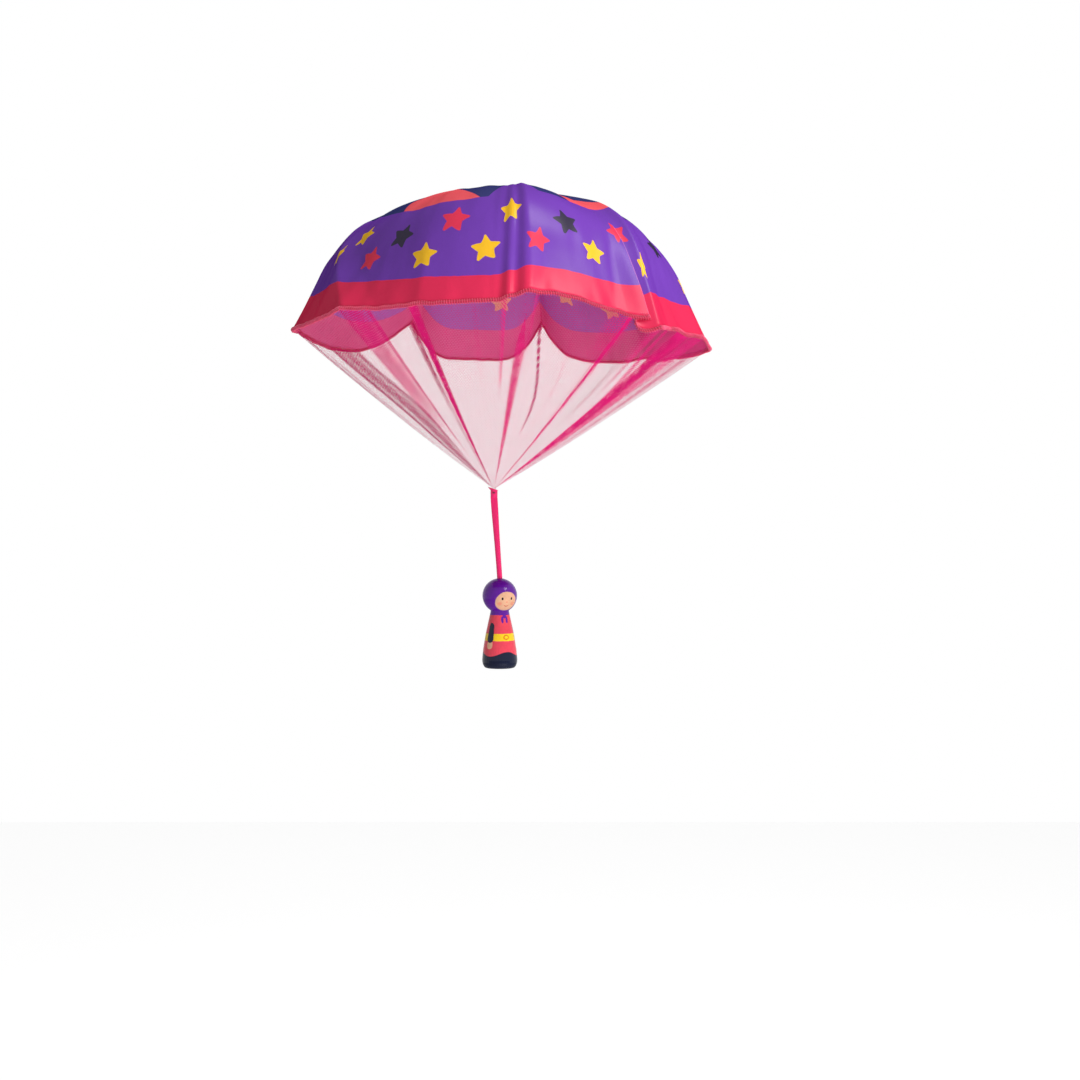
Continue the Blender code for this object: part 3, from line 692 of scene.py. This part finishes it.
class Paint:
    """A material whose nodes are added by short calls."""

    def __init__(self, name):
        self.material = bpy.data.materials.new(name)
        self.material.use_nodes = True
        self.nodes = self.material.node_tree.nodes
        self.links = self.material.node_tree.links
        self.shader = self.nodes["Principled BSDF"]

    def feed(self, socket, value):
        if isinstance(value, bpy.types.NodeSocket):
            self.links.new(value, socket)
        else:
            socket.default_value = value

    def add(self, kind, inputs=None, **settings):
        made = self.nodes.new("ShaderNode" + kind)
        for name, value in settings.items():
            setattr(made, name, value)
        for name, value in (inputs or {}).items():
            self.feed(made.inputs[name], value)
        return made

    def reckon(self, kind, operation, values):
        made = self.add(kind, operation=operation)
        for socket, value in zip(made.inputs, values):
            self.feed(socket, value)
        return made.outputs

    def math(self, operation, *values):
        return self.reckon("Math", operation, values)[0]

    def vector(self, operation, *values):
        return self.reckon("VectorMath", operation, values)[0]

    def plus(self, one, other):
        return self.math("ADD", one, other)

    def minus(self, one, other):
        return self.math("SUBTRACT", one, other)

    def times(self, one, other):
        return self.math("MULTIPLY", one, other)

    def stretched(self, place, factors):
        return self.vector("MULTIPLY", place, factors)

    def length(self, vector):
        return self.reckon("VectorMath", "LENGTH", (vector,))["Value"]

    def split(self, vector):
        return tuple(self.add("SeparateXYZ", {"Vector": vector}).outputs)

    def join(self, x, y):
        return self.add("CombineXYZ", {"X": x, "Y": y}).outputs[0]

    def polar(self, place):
        """The reach from a map's middle, and the angle from its +Y."""
        x, y, _ = self.split(place)
        reach = self.math("SQRT", self.plus(self.times(x, x), self.times(y, y)))
        return reach, self.math("ARCTAN2", x, y)

    def folded(self, angle, sectors):
        """The angle from the middle of the nearest of so many even sectors."""
        half = math.pi / sectors
        return self.math("ABSOLUTE", self.math("WRAP", angle, half, -half))

    def ranged(self, value, low, high, to_low, to_high, **settings):
        inputs = {"Value": value, "From Min": low, "From Max": high, "To Min": to_low, "To Max": to_high}
        return self.add("MapRange", inputs, **settings).outputs[0]

    def below(self, value, edge, soft):
        """1 where the value is under the edge, 0 over it."""
        return self.ranged(value, edge - soft, edge + soft, 1.0, 0.0, interpolation_type="SMOOTHSTEP")

    def around(self, value, low, high):
        """A noise value of about 0.5 turned into a factor from low to high."""
        return self.ranged(value, 0.25, 0.75, low, high)

    def mix(self, mask, under, over):
        made = self.add("Mix", data_type="RGBA")
        self.feed(made.inputs[0], mask)
        self.feed(made.inputs[6], under)
        self.feed(made.inputs[7], over)
        return made.outputs[2]

    def scaled(self, value, factor):
        """A colour or a place times a factor."""
        made = self.add("VectorMath", operation="SCALE")
        self.feed(made.inputs[0], value if isinstance(value, bpy.types.NodeSocket) else value[:3])
        self.feed(made.inputs["Scale"], factor)
        return made.outputs[0]

    def noise(self, vector, scale, detail=2.0):
        return self.add("TexNoise", {"Vector": vector, "Scale": scale, "Detail": detail}).outputs[0]

    def shaken(self, place, scale, factors, detail=2.0):
        """A place moved about by a noise, for an edge that a hand cut or painted."""
        wobble = self.noise(place, scale, detail).node.outputs["Color"]
        shift = self.vector("SUBTRACT", wobble, (0.5, 0.5, 0.5))
        return self.vector("ADD", place, self.stretched(shift, factors))

    def object_place(self):
        return self.add("TexCoord").outputs["Object"]

    def uv(self, name):
        return self.add("UVMap", uv_map=name).outputs[0]

    def attribute(self, name):
        return self.add("Attribute", attribute_name=name).outputs["Fac"]

    def bump(self, height, distance, strength=1.0):
        inputs = {"Height": height, "Distance": distance, "Strength": strength}
        return self.add("Bump", inputs).outputs[0]

    def finish(self, **sockets):
        for name, value in sockets.items():
            self.feed(self.shader.inputs[name.replace("_", " ")], value)
        return self.material


def star_mask(paint):
    """1 inside the nearest star: five arms, blunt tips and an uneven hand-cut edge."""
    place = paint.shaken(paint.uv("star"), STAR_WOBBLE_SCALE, STAR_WOBBLE, detail=1.0)
    reach, angle = paint.polar(place)
    folded = paint.folded(angle, STAR_ARMS)
    across = paint.times(reach, paint.math("SINE", folded))
    along = paint.times(reach, paint.math("COSINE", folded))
    rise = STAR_WAIST_SHARE * math.sin(math.pi / STAR_ARMS)
    run = 1.0 - STAR_WAIST_SHARE * math.cos(math.pi / STAR_ARMS)
    size = math.hypot(rise, run)
    edge = paint.plus(paint.times(along, rise / size), paint.times(across, run / size))
    edge = paint.minus(edge, rise / size)
    blunt = paint.minus(reach, STAR_TIP_SHARE)
    return paint.below(paint.math("SMOOTH_MAX", edge, blunt, STAR_TIP_ROUND), 0.0, STAR_EDGE)


def canopy_print(paint):
    """The printed colours: pink band, purple band with stars, and navy crown with coral blades."""
    flat = paint.uv("flat")
    uneven = paint.times(paint.noise(flat, PRINT_UNEVEN_SCALE), PRINT_UNEVEN)
    past_band = paint.plus(paint.attribute("past_band"), uneven)
    past_edge = paint.plus(paint.attribute("past_crown_edge"), uneven)
    colour = paint.mix(paint.below(past_band, 0.0, PRINT_EDGE), PURPLE, PINK)
    tone = paint.attribute("star_tone")
    star = paint.mix(paint.below(tone, (DARK + RED) / 2.0, 0.01), STAR_RED, STAR_DARK)
    star = paint.mix(paint.below(tone, (YELLOW + DARK) / 2.0, 0.01), star, STAR_YELLOW)
    colour = paint.mix(star_mask(paint), colour, star)
    reach, angle = paint.polar(flat)
    bend = paint.plus(angle, paint.times(reach, BLADE_BEND))
    side = paint.folded(paint.plus(bend, math.radians(BLADE_TURN_DEG)), BLADES)
    blade = paint.below(paint.minus(side, paint.times(reach, BLADE_WIDTH)), 0.0, BLADE_EDGE)
    crown = paint.mix(blade, NAVY, CORAL)
    return paint.mix(paint.below(past_edge, 0.0, PRINT_EDGE), crown, colour)


def canopy_material(name, inside):
    """Printed satin; its inner side shows the print paler, partly as the print's reverse side and partly as
    painted light coming through the cloth, and is less glossy.
    """
    paint = Paint(name)
    flat = paint.uv("flat")
    colour = canopy_print(paint)
    # Paler inside: the print's reverse side, lightened further as painted light through the cloth.
    if inside:
        colour = paint.mix(PALE_REVERSE_AND_PAINTED_LIGHT_SHARE, colour, PALE_REVERSE_AND_PAINTED_LIGHT)
    shade = paint.around(paint.noise(flat, 22.0, 3.0), 0.92, 1.06)
    threads = paint.noise(paint.stretched(flat, (1.0, 0.12, 1.0)), 9000.0, 1.0)
    slubs = paint.noise(paint.stretched(flat, (1.0, 0.05, 1.0)), 1500.0)
    wrinkles = paint.noise(flat, 70.0, 3.0)
    colour = paint.scaled(colour, paint.times(shade, paint.around(threads, 0.95, 1.05)))
    weave = paint.plus(paint.times(threads, 0.12), paint.times(slubs, 0.08))
    facing = paint.add("LayerWeight").outputs["Facing"]
    straight_on = paint.math("POWER", paint.minus(1.0, facing), 1.6)
    return paint.finish(
        Base_Color=colour,
        Roughness=0.7,
        Specular_IOR_Level=0.0,
        Coat_Weight=paint.times(straight_on, 0.12 if inside else 0.60),
        Coat_Roughness=0.34,
        Normal=paint.bump(paint.plus(weave, wrinkles), 0.0005, 0.8),
    )


def thread_material(name, colour):
    paint = Paint(name)
    place = paint.object_place()
    fibres = paint.noise(paint.stretched(place, (1.0, 1.0, 0.35)), 5200.0)
    shade = paint.around(paint.noise(place, 260.0), 0.9, 1.08)
    return paint.finish(
        Base_Color=paint.scaled(colour, paint.times(paint.around(fibres, 0.84, 1.12), shade)),
        Roughness=paint.around(fibres, 0.5, 0.7),
        Sheen_Weight=0.3,
        Normal=paint.bump(fibres, 0.00012),
    )


def net_material():
    """Tulle: threads round six-sided holes, and nothing between them."""
    paint = Paint("net_tulle")
    flat = paint.uv("net")
    place = paint.scaled(flat, 1.0 / NET_PITCH)
    cell = (1.0, math.sqrt(3.0), 1.0)
    half = (0.5, math.sqrt(3.0) / 2.0, 0.5)
    holes = []
    for moved in (place, paint.vector("ADD", place, half)):
        wrapped = paint.vector("WRAP", moved, cell, (0.0, 0.0, 0.0))
        holes.append(paint.vector("SUBTRACT", wrapped, half))
    reaches = [paint.length(paint.stretched(hole, (1.0, 1.0, 0.0))) for hole in holes]
    nearer = paint.add("Mix", data_type="VECTOR")
    paint.feed(nearer.inputs[0], paint.math("LESS_THAN", *reaches))
    paint.feed(nearer.inputs[4], holes[1])
    paint.feed(nearer.inputs[5], holes[0])
    inner = paint.vector("ABSOLUTE", nearer.outputs[1])
    slope = paint.reckon("VectorMath", "DOT_PRODUCT", (inner, (*half[:2], 0.0)))["Value"]
    edge = paint.minus(0.5, paint.math("MAXIMUM", slope, paint.split(inner)[0]))
    half_thread = NET_THREAD_HALF / NET_PITCH
    uneven = paint.around(paint.noise(flat, 520.0), 0.5, 1.6)
    layers = paint.times(paint.plus(paint.attribute("bunched"), 1.0), uneven)
    open_share = paint.math("POWER", 1.0 - 2.0 * half_thread, layers)
    reach = paint.times(paint.minus(1.0, open_share), 0.5)
    tone = paint.around(paint.noise(paint.object_place(), 120.0), 0.9, 1.1)
    return paint.finish(
        Base_Color=paint.scaled(NET_PINK, tone),
        Roughness=0.8,
        Specular_IOR_Level=0.1,
        Alpha=paint.below(paint.minus(edge, reach), 0.0, half_thread * 0.25),
        Normal=paint.bump(edge, 0.00006),
    )


def ribbon_material():
    paint = Paint("ribbon_satin")
    place = paint.object_place()
    ribs = paint.noise(paint.stretched(place, (0.12, 0.12, 1.0)), 5200.0, 1.0)
    shine = paint.noise(paint.stretched(place, (1.0, 1.0, 0.06)), 900.0)
    tone = paint.times(paint.around(ribs, 0.93, 1.06), paint.around(shine, 0.92, 1.08))
    return paint.finish(
        Base_Color=paint.scaled(RIBBON_PINK, tone),
        Roughness=paint.around(shine, 0.36, 0.5),
        Sheen_Weight=0.1,
        Normal=paint.bump(ribs, 0.00006),
    )


def doll_material():
    """Paint on turned wood: a hood with a face opening, a suit, sleeves, hands, belt and trousers."""
    paint = Paint("painted_wood")
    base = (DOLL_TOP.x, DOLL_TOP.y, DOLL_TOP.z - DOLL_HEIGHT)
    centred = paint.vector("SUBTRACT", paint.object_place(), base)
    centred = paint.shaken(centred, BRUSH_SHAKE_SCALE, BRUSH_SHAKE)
    facing = {"Vector": centred, "Angle": math.radians(-DOLL_FACING_DEG)}
    turned = paint.add("VectorRotate", facing, rotation_type="Z_AXIS").outputs[0]
    x, y, z = paint.split(turned)
    front = paint.below(y, 0.0, PAINT_EDGE)
    side = paint.math("ABSOLUTE", x)
    angle = paint.math("ABSOLUTE", paint.math("ARCTAN2", x, paint.times(y, -1.0)))

    def spot_mask(spot):
        across = paint.math("DIVIDE", paint.minus(side, spot.across), spot.half_width)
        up = paint.math("DIVIDE", paint.minus(z, spot.height), spot.half_height)
        inside = paint.below(paint.length(paint.join(across, up)), 1.0, spot.soft)
        return paint.times(paint.times(inside, front), spot.strength)

    def arm_mask(low, high, radius):
        across = paint.times(paint.minus(angle, math.radians(ARM_DEG)), ARM_REACH)
        away = paint.math("ABSOLUTE", paint.minus(z, (low + high) / 2.0))
        beyond = paint.math("MAXIMUM", paint.minus(away, (high - low) / 2.0), 0.0)
        return paint.below(paint.length(paint.join(across, beyond)), radius, ARM_EDGE)

    wave = paint.times(paint.math("COSINE", paint.times(angle, TROUSER_WAVES)), TROUSER_WAVE)
    layers = (
        (paint.below(paint.minus(z, wave), TROUSER_TOP, PAINT_EDGE), DOLL_NAVY),
        (paint.below(paint.math("ABSOLUTE", paint.minus(z, BELT_HEIGHT)), BELT_HALF, PAINT_EDGE), BELT),
        (arm_mask(*HAND), SKIN),
        (arm_mask(*SLEEVE), DOLL_NAVY),
        (paint.below(paint.times(z, -1.0), -HOOD_HEIGHT, PAINT_EDGE), HOOD),
        *((spot_mask(spot), spot.colour) for spot in SPOTS),
        (paint.times(spot_mask(SMILE), paint.minus(1.0, spot_mask(ABOVE_SMILE))), SMILE.colour),
    )
    colour = SUIT
    for mask, over in layers:
        colour = paint.mix(mask, colour, over)
    lathe = paint.noise(paint.stretched(centred, (0.05, 0.05, 1.0)), 2600.0)
    brush = paint.noise(centred, 420.0, 3.0)
    return paint.finish(
        Base_Color=paint.scaled(colour, paint.around(brush, 0.93, 1.06)),
        Roughness=paint.around(brush, 0.30, 0.42),
        Specular_IOR_Level=0.10,
        Coat_Weight=0.35,
        Coat_Roughness=0.06,
        Normal=paint.bump(paint.plus(paint.times(lathe, 0.4), brush), 0.000015),
    )


def print_change(changes, azimuth):
    """How far a printed edge runs off its even distance from the hem at an azimuth."""
    change = 0.0
    for middle, half_width, most in changes:
        change += most * smoothstep(1.0 - turn_between(azimuth, middle) / half_width)
    return change


def print_layers(mesh, columns, shares):
    """Gives the canopy its maps: flat place, ways past the printed edges and the nearest star."""
    places = [(lapped(column, share)[0], share * CANOPY_ARC) for share in shares for column in columns]
    places.append((0.0, 0.0))
    past_band, past_edge = [], []
    middle, half_width, peak = CROWN_PEAK
    for azimuth, reach in places:
        past_band.append(CANOPY_ARC - reach - PINK_BAND - print_change(BAND_CHANGES, azimuth))
        risen = max(0.0, 1.0 - turn_between(azimuth, middle) / half_width)
        edge = NAVY_EDGE + print_change(CROWN_CHANGES, azimuth) + peak * risen
        past_edge.append(CANOPY_ARC - reach - edge)
    for name, values in (("past_band", past_band), ("past_crown_edge", past_edge)):
        mesh.attributes.new(name, "FLOAT", "POINT").data.foreach_set("value", values)

    centres = kdtree.KDTree(len(STARS))
    for index, star in enumerate(STARS):
        centres.insert(heading(star.azimuth) * (CANOPY_ARC - star.from_hem), index)
    centres.balance()
    flat_values, star_values, tones = [], [], []
    for face in mesh.polygons:
        corners = [places[v] for v in face.vertices]
        away = [heading(azimuth) * reach for azimuth, reach in corners]
        _, index, _ = centres.find(sum(away, Vector((0.0, 0.0, 0.0))) / len(away))
        star = STARS[index]
        star_reach = CANOPY_ARC - star.from_hem
        radius = outline_at(star_reach / CANOPY_ARC)[0].x
        spin = Matrix.Rotation(math.radians(star.turn), 2)
        tones.append(star.colour)
        for (azimuth, reach), point in zip(corners, away):
            flat_values += (point.x, point.y)
            across = math.radians(signed_turn(azimuth, star.azimuth)) * radius
            local = spin @ Vector((across * star.slim, star_reach - reach)) / STAR_RADIUS
            star_values += (local.x, local.y)
    for name, values in (("flat", flat_values), ("star", star_values)):
        mesh.uv_layers.new(name=name).uv.foreach_set("vector", values)
    mesh.attributes.new("star_tone", "FLOAT", "FACE").data.foreach_set("value", tones)


def thicken(cloth):
    """Gives the canopy its thickness, with its second material inside and its first on the hem."""
    modifier = cloth.modifiers.new("thickness", "SOLIDIFY")
    modifier.thickness = CLOTH_THICKNESS
    modifier.offset = -1.0
    modifier.use_even_offset = False
    modifier.material_offset = 1
    modifier.material_offset_rim = 0


def make_canopy():
    columns = cloth_columns(CANOPY_LAPS, CANOPY_COLUMN_DEG, LAP_MARGIN)
    shares = [(row + 1) / CANOPY_ROWS for row in range(CANOPY_ROWS)]
    rows = [[canopy_point(column, share) for column in columns] for share in shares]
    mesh = grid_mesh("canopy", rows, pole=(0.0, 0.0, 0.0))
    mesh.flip_normals()
    print_layers(mesh, columns, shares)
    materials = [canopy_material("canopy_satin", False), canopy_material("canopy_lining_side", True)]
    made = add_piece("canopy", mesh, materials, "canopy")
    thicken(made)
    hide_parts("canopy_cloth")
    return columns


Hem = namedtuple("Hem", "place down outward")


def hem_frames(columns):
    """The hem's place, way down and way out at each column."""
    places = [canopy_point(column, 1.0) for column in columns]
    inner = [canopy_point(column, 1.0 - SURFACE_STEP) for column in columns]
    frames = []
    for i, (place, above) in enumerate(zip(places, inner)):
        along = places[(i + 1) % len(places)] - places[i - 1]
        outward = along.cross(above - place).normalized()
        frames.append(Hem(place, (place - above).normalized(), outward))
    return frames


def overlock_point(hem, angle, size, uneven=1.0):
    """A point of the overlock round a place on the hem, by its half width and half height."""
    centre = hem.place + hem.down * OVERLOCK_DROP - hem.outward * (CLOTH_THICKNESS / 2.0)
    across = hem.outward * (math.cos(angle) * size[0])
    return centre + across + hem.down * (math.sin(angle) * size[1] * uneven)


def make_overlock(hem):
    # The core gets a darker red than the loops, as painted shade between the loops.
    thread = thread_material("overlock_thread", OVERLOCK_CORE_PAINTED_SHADE)
    loop_thread = thread_material("overlock_loop_thread", OVERLOCK_PINK)
    angles = [math.tau * k / OVERLOCK_CORE_SIDES for k in range(OVERLOCK_CORE_SIDES)]
    rings = [[overlock_point(place, angle, OVERLOCK_CORE) for angle in angles] for place in hem]
    core = add_piece("overlock_core", loft(rings, ring_closed=True), [thread], "canopy")
    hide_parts("hem_overlock")
    closed = [*hem, hem[0]]
    travelled = [0.0]
    for before, after in zip(closed, closed[1:]):
        travelled.append(travelled[-1] + (after.place - before.place).length)
    steps = round(travelled[-1] / OVERLOCK_PITCH) * OVERLOCK_LOOP_STEPS
    path = []
    segment = 0
    for step in range(steps):
        along = travelled[-1] * step / steps
        while travelled[segment + 1] < along:
            segment += 1
        length = travelled[segment + 1] - travelled[segment]
        share = (along - travelled[segment]) / max(TINY, length)
        ends = zip(closed[segment], closed[segment + 1])
        place = Hem(*(here.lerp(there, share) for here, there in ends))
        wander = noise.noise(Vector((along * OVERLOCK_UNEVEN_CELLS, 3.0, 0.0)))
        angle = math.tau * step / OVERLOCK_LOOP_STEPS
        path.append(overlock_point(place, angle, OVERLOCK_LOOP, 1.0 + OVERLOCK_UNEVEN * wander))
    loops = tube(path, OVERLOCK_THREAD, OVERLOCK_THREAD_SIDES, closed=True)
    wound = add_piece("overlock_loops", loops, [loop_thread], "canopy")


def bunched(azimuth, share):
    """How many layers the net's pleats add at an azimuth and a share of the way down."""
    layers = 0.0
    for pleat in PLEATS:
        middle = pleat.azimuth + pleat.drift * smoothstep(share / pleat.drifted)
        away = share_away(azimuth, middle, pleat)
        if away < 1.0:
            there = ramp(share, pleat.sets_in) * (1.0 - ramp(share, pleat.fades))
            layers += pleat.layers * smoothstep(1.0 - away) * there
    return layers


def net_point(column, share, tip_place):
    """The net's place, by its column and by share of the way from the hem to its tip."""
    azimuth, lift = lapped(column, share)
    on_hem = Column(azimuth, azimuth, 0.0, None)
    place = canopy_point(on_hem, 1.0)
    above = canopy_point(on_hem, 1.0 - SURFACE_STEP)
    out = heading(azimuth)
    start = place + (place - above).normalized() * OVERLOCK_DROP - out * NET_HEM_INSET
    end = tip_place + out * NET_GATHER_RADIUS
    swell = 4.0 * share * (1.0 - share)
    height, cells, rows = NET_RUMPLE
    rumple = noise_round(column.open_azimuth, share, cells, rows) * height * swell
    settle = smoothstep(share * NET_LAP_ONSET) * (1.0 - NET_LAP_LOSS * share)
    return start.lerp(end, share) + out * (swell * NET_SWELL + rumple + lift * settle)


def make_net():
    columns = cloth_columns(NET_LAPS, NET_COLUMN_DEG, NET_LAP_MARGIN)
    tip_place = TIE + Vector((0.0, 0.0, WRAP_NECK_HEIGHT + NET_TIP_RISE))
    shares = [row / NET_ROWS for row in range(NET_ROWS + 1)]
    rows = [[net_point(column, share, tip_place) for column in columns] for share in shares]
    gathered = rows[-1]
    for height in (WRAP_NECK_HEIGHT, -BALL_RADIUS / 2.0):
        centre = TIE + Vector((0.0, 0.0, height))
        narrowing = NET_NECK_RADIUS / NET_GATHER_RADIUS
        rows.append([centre + (point - tip_place) * narrowing for point in gathered])
    tip = TIE - Vector((0.0, 0.0, BALL_RADIUS / 2.0 + NET_NECK_RADIUS / 2.0))
    mesh = grid_mesh("net", rows, pole=tip, pole_last=True)
    net_layers(mesh, rows)
    layers = [bunched(lapped(column, share)[0], share) for share in shares for column in columns]
    layers += [0.0] * (len(mesh.vertices) - len(layers))
    mesh.attributes.new("bunched", "FLOAT", "POINT").data.foreach_set("value", layers)
    made = add_piece("net", mesh, [net_material()])
    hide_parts("net_skirt")
    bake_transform(made)


def net_layers(mesh, rows):
    """The net's map: its place in the flat round piece that it was cut as."""
    count = len(rows[0])
    measured = rows[len(rows) // 3]
    travelled = [0.0]
    for i in range(count):
        travelled.append(travelled[-1] + (measured[(i + 1) % count] - measured[i]).length)
    values = []
    for face in mesh.polygons:
        on_rows = [v % count for v in face.vertices if v < count * len(rows)]
        base = min(on_rows)
        wraps = base == 0 and count - 1 in on_rows
        for v in face.vertices:
            row, i = divmod(v, count)
            if row >= len(rows):
                row, i = len(rows) - 1, base
            if wraps and i == 0:
                i = count
            angle = math.tau * travelled[i] / travelled[-1]
            reach = NET_FLAT_RADIUS * (1.0 - row / len(rows))
            values += (reach * math.cos(angle), reach * math.sin(angle))
    mesh.uv_layers.new(name="net").uv.foreach_set("vector", values)


def oval(half_width, half_depth, height, tilt=0.0, pucker=0.0, shift=0.0):
    """An oval ring of points; tilt lifts its -X side, pucker waves it and shift moves it along X."""
    ring = []
    for side in range(WRAP_SIDES):
        angle = math.tau * side / WRAP_SIDES
        wave = 1.0 + pucker * math.sin(WRAP_PUCKERS * angle + 0.8)
        x = half_width * math.cos(angle) * wave + shift
        y = half_depth * math.sin(angle) * wave
        ring.append(TIE + Vector((x, y, height - tilt * math.cos(angle))))
    return ring


def make_tie(ribbon_satin):
    """The ribbon's folded top end round the ball of thread, and the bar tack on it."""
    rings = [oval(RIBBON_WIDTH / 2.0, WRAP_TAIL_HALF_DEPTH, -WRAP_TAIL_DROP)]
    for height, width, depth, tilt, pucker in WRAP_RINGS:
        rings.append(oval(WRAP_RADIUS * width, WRAP_RADIUS * depth, height, tilt, pucker))
    for rise, flare in FLARE_RINGS:
        half_width = WRAP_RADIUS + FLARE_WIDTH * flare
        half_depth = WRAP_RADIUS + FLARE_DEPTH * flare
        rim = (WRAP_NECK_HEIGHT + rise, FLARE_TILT * flare, FLARE_PUCKER, FLARE_SHIFT * flare**2)
        rings.append(oval(half_width, half_depth, *rim))
    rings.append(oval(half_width - WRAP_WALL, half_depth - WRAP_WALL, *rim))
    neck_angle = math.asin(WRAP_NECK_RADIUS / WRAP_POCKET_RADIUS)
    for step in range(WRAP_POCKET_STEPS):
        angle = neck_angle + (math.pi - neck_angle) * step / WRAP_POCKET_STEPS
        radius = WRAP_POCKET_RADIUS * math.sin(angle)
        rings.append(oval(radius, radius, WRAP_POCKET_RADIUS * math.cos(angle)))
    wrap = add_piece("ribbon_wrap_cloth", loft(rings), [ribbon_satin])
    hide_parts("ribbon_wrap")
    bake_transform(wrap)
    path = []
    for step in range(TACK_STEPS):
        angle = math.tau * step / TACK_TURN_STEPS
        along = (step / (TACK_STEPS - 1) - 0.5) * TACK_LENGTH
        centre = TIE + Vector((along, -WRAP_RADIUS - TACK_PROUD, -TACK_DROP))
        loop = Vector((0.0, TACK_LOOP[0] * math.cos(angle), TACK_LOOP[1] * math.sin(angle)))
        path.append(centre + loop)
    stitches = tube(path, TACK_THREAD, TACK_THREAD_SIDES, closed=False)
    tack = add_piece("bar_tack", stitches, [thread_material("tack_thread", TACK_RED)], "tie")
    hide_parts("wrap_stitch")


def ribbon_section(share, half_thickness, roll_radius):
    """The ribbon's section at a share of its length: an arc of its own width, (across, back)."""
    roll_angle = RIBBON_ROLL_ANGLE_DEG * (1.0 - (1.0 - share) ** RIBBON_ROLL_POWER)
    half_angle = math.radians(RIBBON_FLAT_ANGLE_DEG + roll_angle)
    bend_radius = RIBBON_WIDTH / (2.0 * half_angle)
    centre_back = bend_radius - roll_radius * share
    points = []
    for side in (1.0, -1.0):
        for k in range(RIBBON_SECTION_POINTS):
            from_middle = 2.0 * k / (RIBBON_SECTION_POINTS - 1) - 1.0
            turn = side * half_angle * from_middle
            fullness = 1.0 if abs(from_middle) > RIBBON_SELVEDGE_START else RIBBON_MIDDLE_FULLNESS
            radius = bend_radius + side * half_thickness * fullness
            points.append((radius * math.sin(turn), centre_back - radius * math.cos(turn)))
    return points


def make_ribbon(ribbon_satin):
    roll_radius = RIBBON_WIDTH / (2.0 * math.radians(RIBBON_FLAT_ANGLE_DEG + RIBBON_ROLL_ANGLE_DEG))
    bore_mouth = DOLL_TOP - RIBBON_HINGE
    upright = Vector((0.0, 0.0, -RIBBON_IN_BORE))
    points = [Vector((0.0, 0.0, RIBBON_TUCK))]
    points += [bore_mouth * share for share in (0.3, 0.6, 0.9)]
    points += [bore_mouth + upright * share for share in (0.1, 0.5, 1.0)]
    run = smooth_run(points, RIBBON_RUN_STEPS)
    back = Vector((0.0, 1.0, 0.0))
    rings = []
    for k in range(RIBBON_ROWS + 1):
        share = k / RIBBON_ROWS
        place, direction = point_along(run, share)
        across = Vector((-direction.z, 0.0, direction.x))
        section = ribbon_section(share, RIBBON_THICKNESS / 2.0, roll_radius)
        rings.append([RIBBON_HINGE + place + across * x + back * y for x, y in section])
    made = add_piece("ribbon_strap", loft(rings), [ribbon_satin])
    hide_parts("ribbon")
    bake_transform(made)


def paint_node(name, material):
    """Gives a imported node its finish."""
    node = bpy.data.objects[name]
    node.data.materials.clear()
    node.data.materials.append(material)


def make_world():
    """Even light from all round; the camera and reflections see it as plain white."""
    world = bpy.data.worlds.new("studio")
    bpy.context.scene.world = world
    world.use_nodes = True
    nodes, links = world.node_tree.nodes, world.node_tree.links
    background = nodes["Background"]
    background.inputs["Color"].default_value = (1.0, 1.0, 1.0, 1.0)
    path = nodes.new("ShaderNodeLightPath")
    seen = path.outputs["Is Camera Ray"]
    for name in ("Is Glossy Ray", "Is Transmission Ray"):
        either = nodes.new("ShaderNodeMath")
        either.operation = "MAXIMUM"
        links.new(seen, either.inputs[0])
        links.new(path.outputs[name], either.inputs[1])
        seen = either.outputs[0]
    strength = nodes.new("ShaderNodeMapRange")
    strength.inputs["To Min"].default_value = WORLD_LIGHT
    strength.inputs["To Max"].default_value = 1.0
    links.new(seen, strength.inputs["Value"])
    links.new(strength.outputs[0], background.inputs["Strength"])


def make_lamps():
    for lamp in LAMPS:
        light = bpy.data.lights.new(lamp.name, "AREA")
        light.shape = "SQUARE"
        light.size = lamp.size
        light.energy = lamp.watts
        stand = add_object(lamp.name, light)
        stand.location = lamp.place
        stand.visible_glossy = lamp.glints
        stand.rotation_euler = (LAMP_TARGET - lamp.place).to_track_quat("-Z", "Y").to_euler()


def make_floor():
    """A pale floor far below, lifted to white for the camera but still open to the shadow."""
    mesh = bpy.data.meshes.new("floor")
    half = FLOOR_SIZE / 2.0
    corners = [(-half, -half), (half, -half), (half, half), (-half, half)]
    mesh.from_pydata([(x, y, -FLOOR_DROP) for x, y in corners], [], [(0, 1, 2, 3)])
    paint = Paint("floor")
    camera_ray = paint.add("LightPath").outputs["Is Camera Ray"]
    mesh.materials.append(paint.finish(
        Base_Color=(0.9, 0.9, 0.9, 1.0),
        Roughness=0.9,
        Emission_Color=(1.0, 1.0, 1.0, 1.0),
        Emission_Strength=paint.times(camera_ray, FLOOR_LIFT),
    ))
    add_object("floor", mesh)


def make_camera():
    lens = bpy.data.cameras.new("camera")
    lens.sensor_width = CAMERA_SENSOR_MM
    lens.lens = CAMERA_LENS_MM
    camera = add_object("camera", lens)
    camera.location = CAMERA_PLACE
    camera.rotation_euler = (math.radians(90.0), 0.0, 0.0)
    bpy.context.scene.camera = camera


def main():
    make_camera()
    make_world()
    make_lamps()
    make_floor()
    columns = make_canopy()
    make_overlock(hem_frames(columns))
    make_net()
    ribbon_satin = ribbon_material()
    make_tie(ribbon_satin)
    make_ribbon(ribbon_satin)
    paint_node("peg_doll", doll_material())
    paint_node("gather_thread", thread_material("tie_thread", TIE_PINK))
    bpy.context.scene.view_settings.view_transform = "Standard"


main()
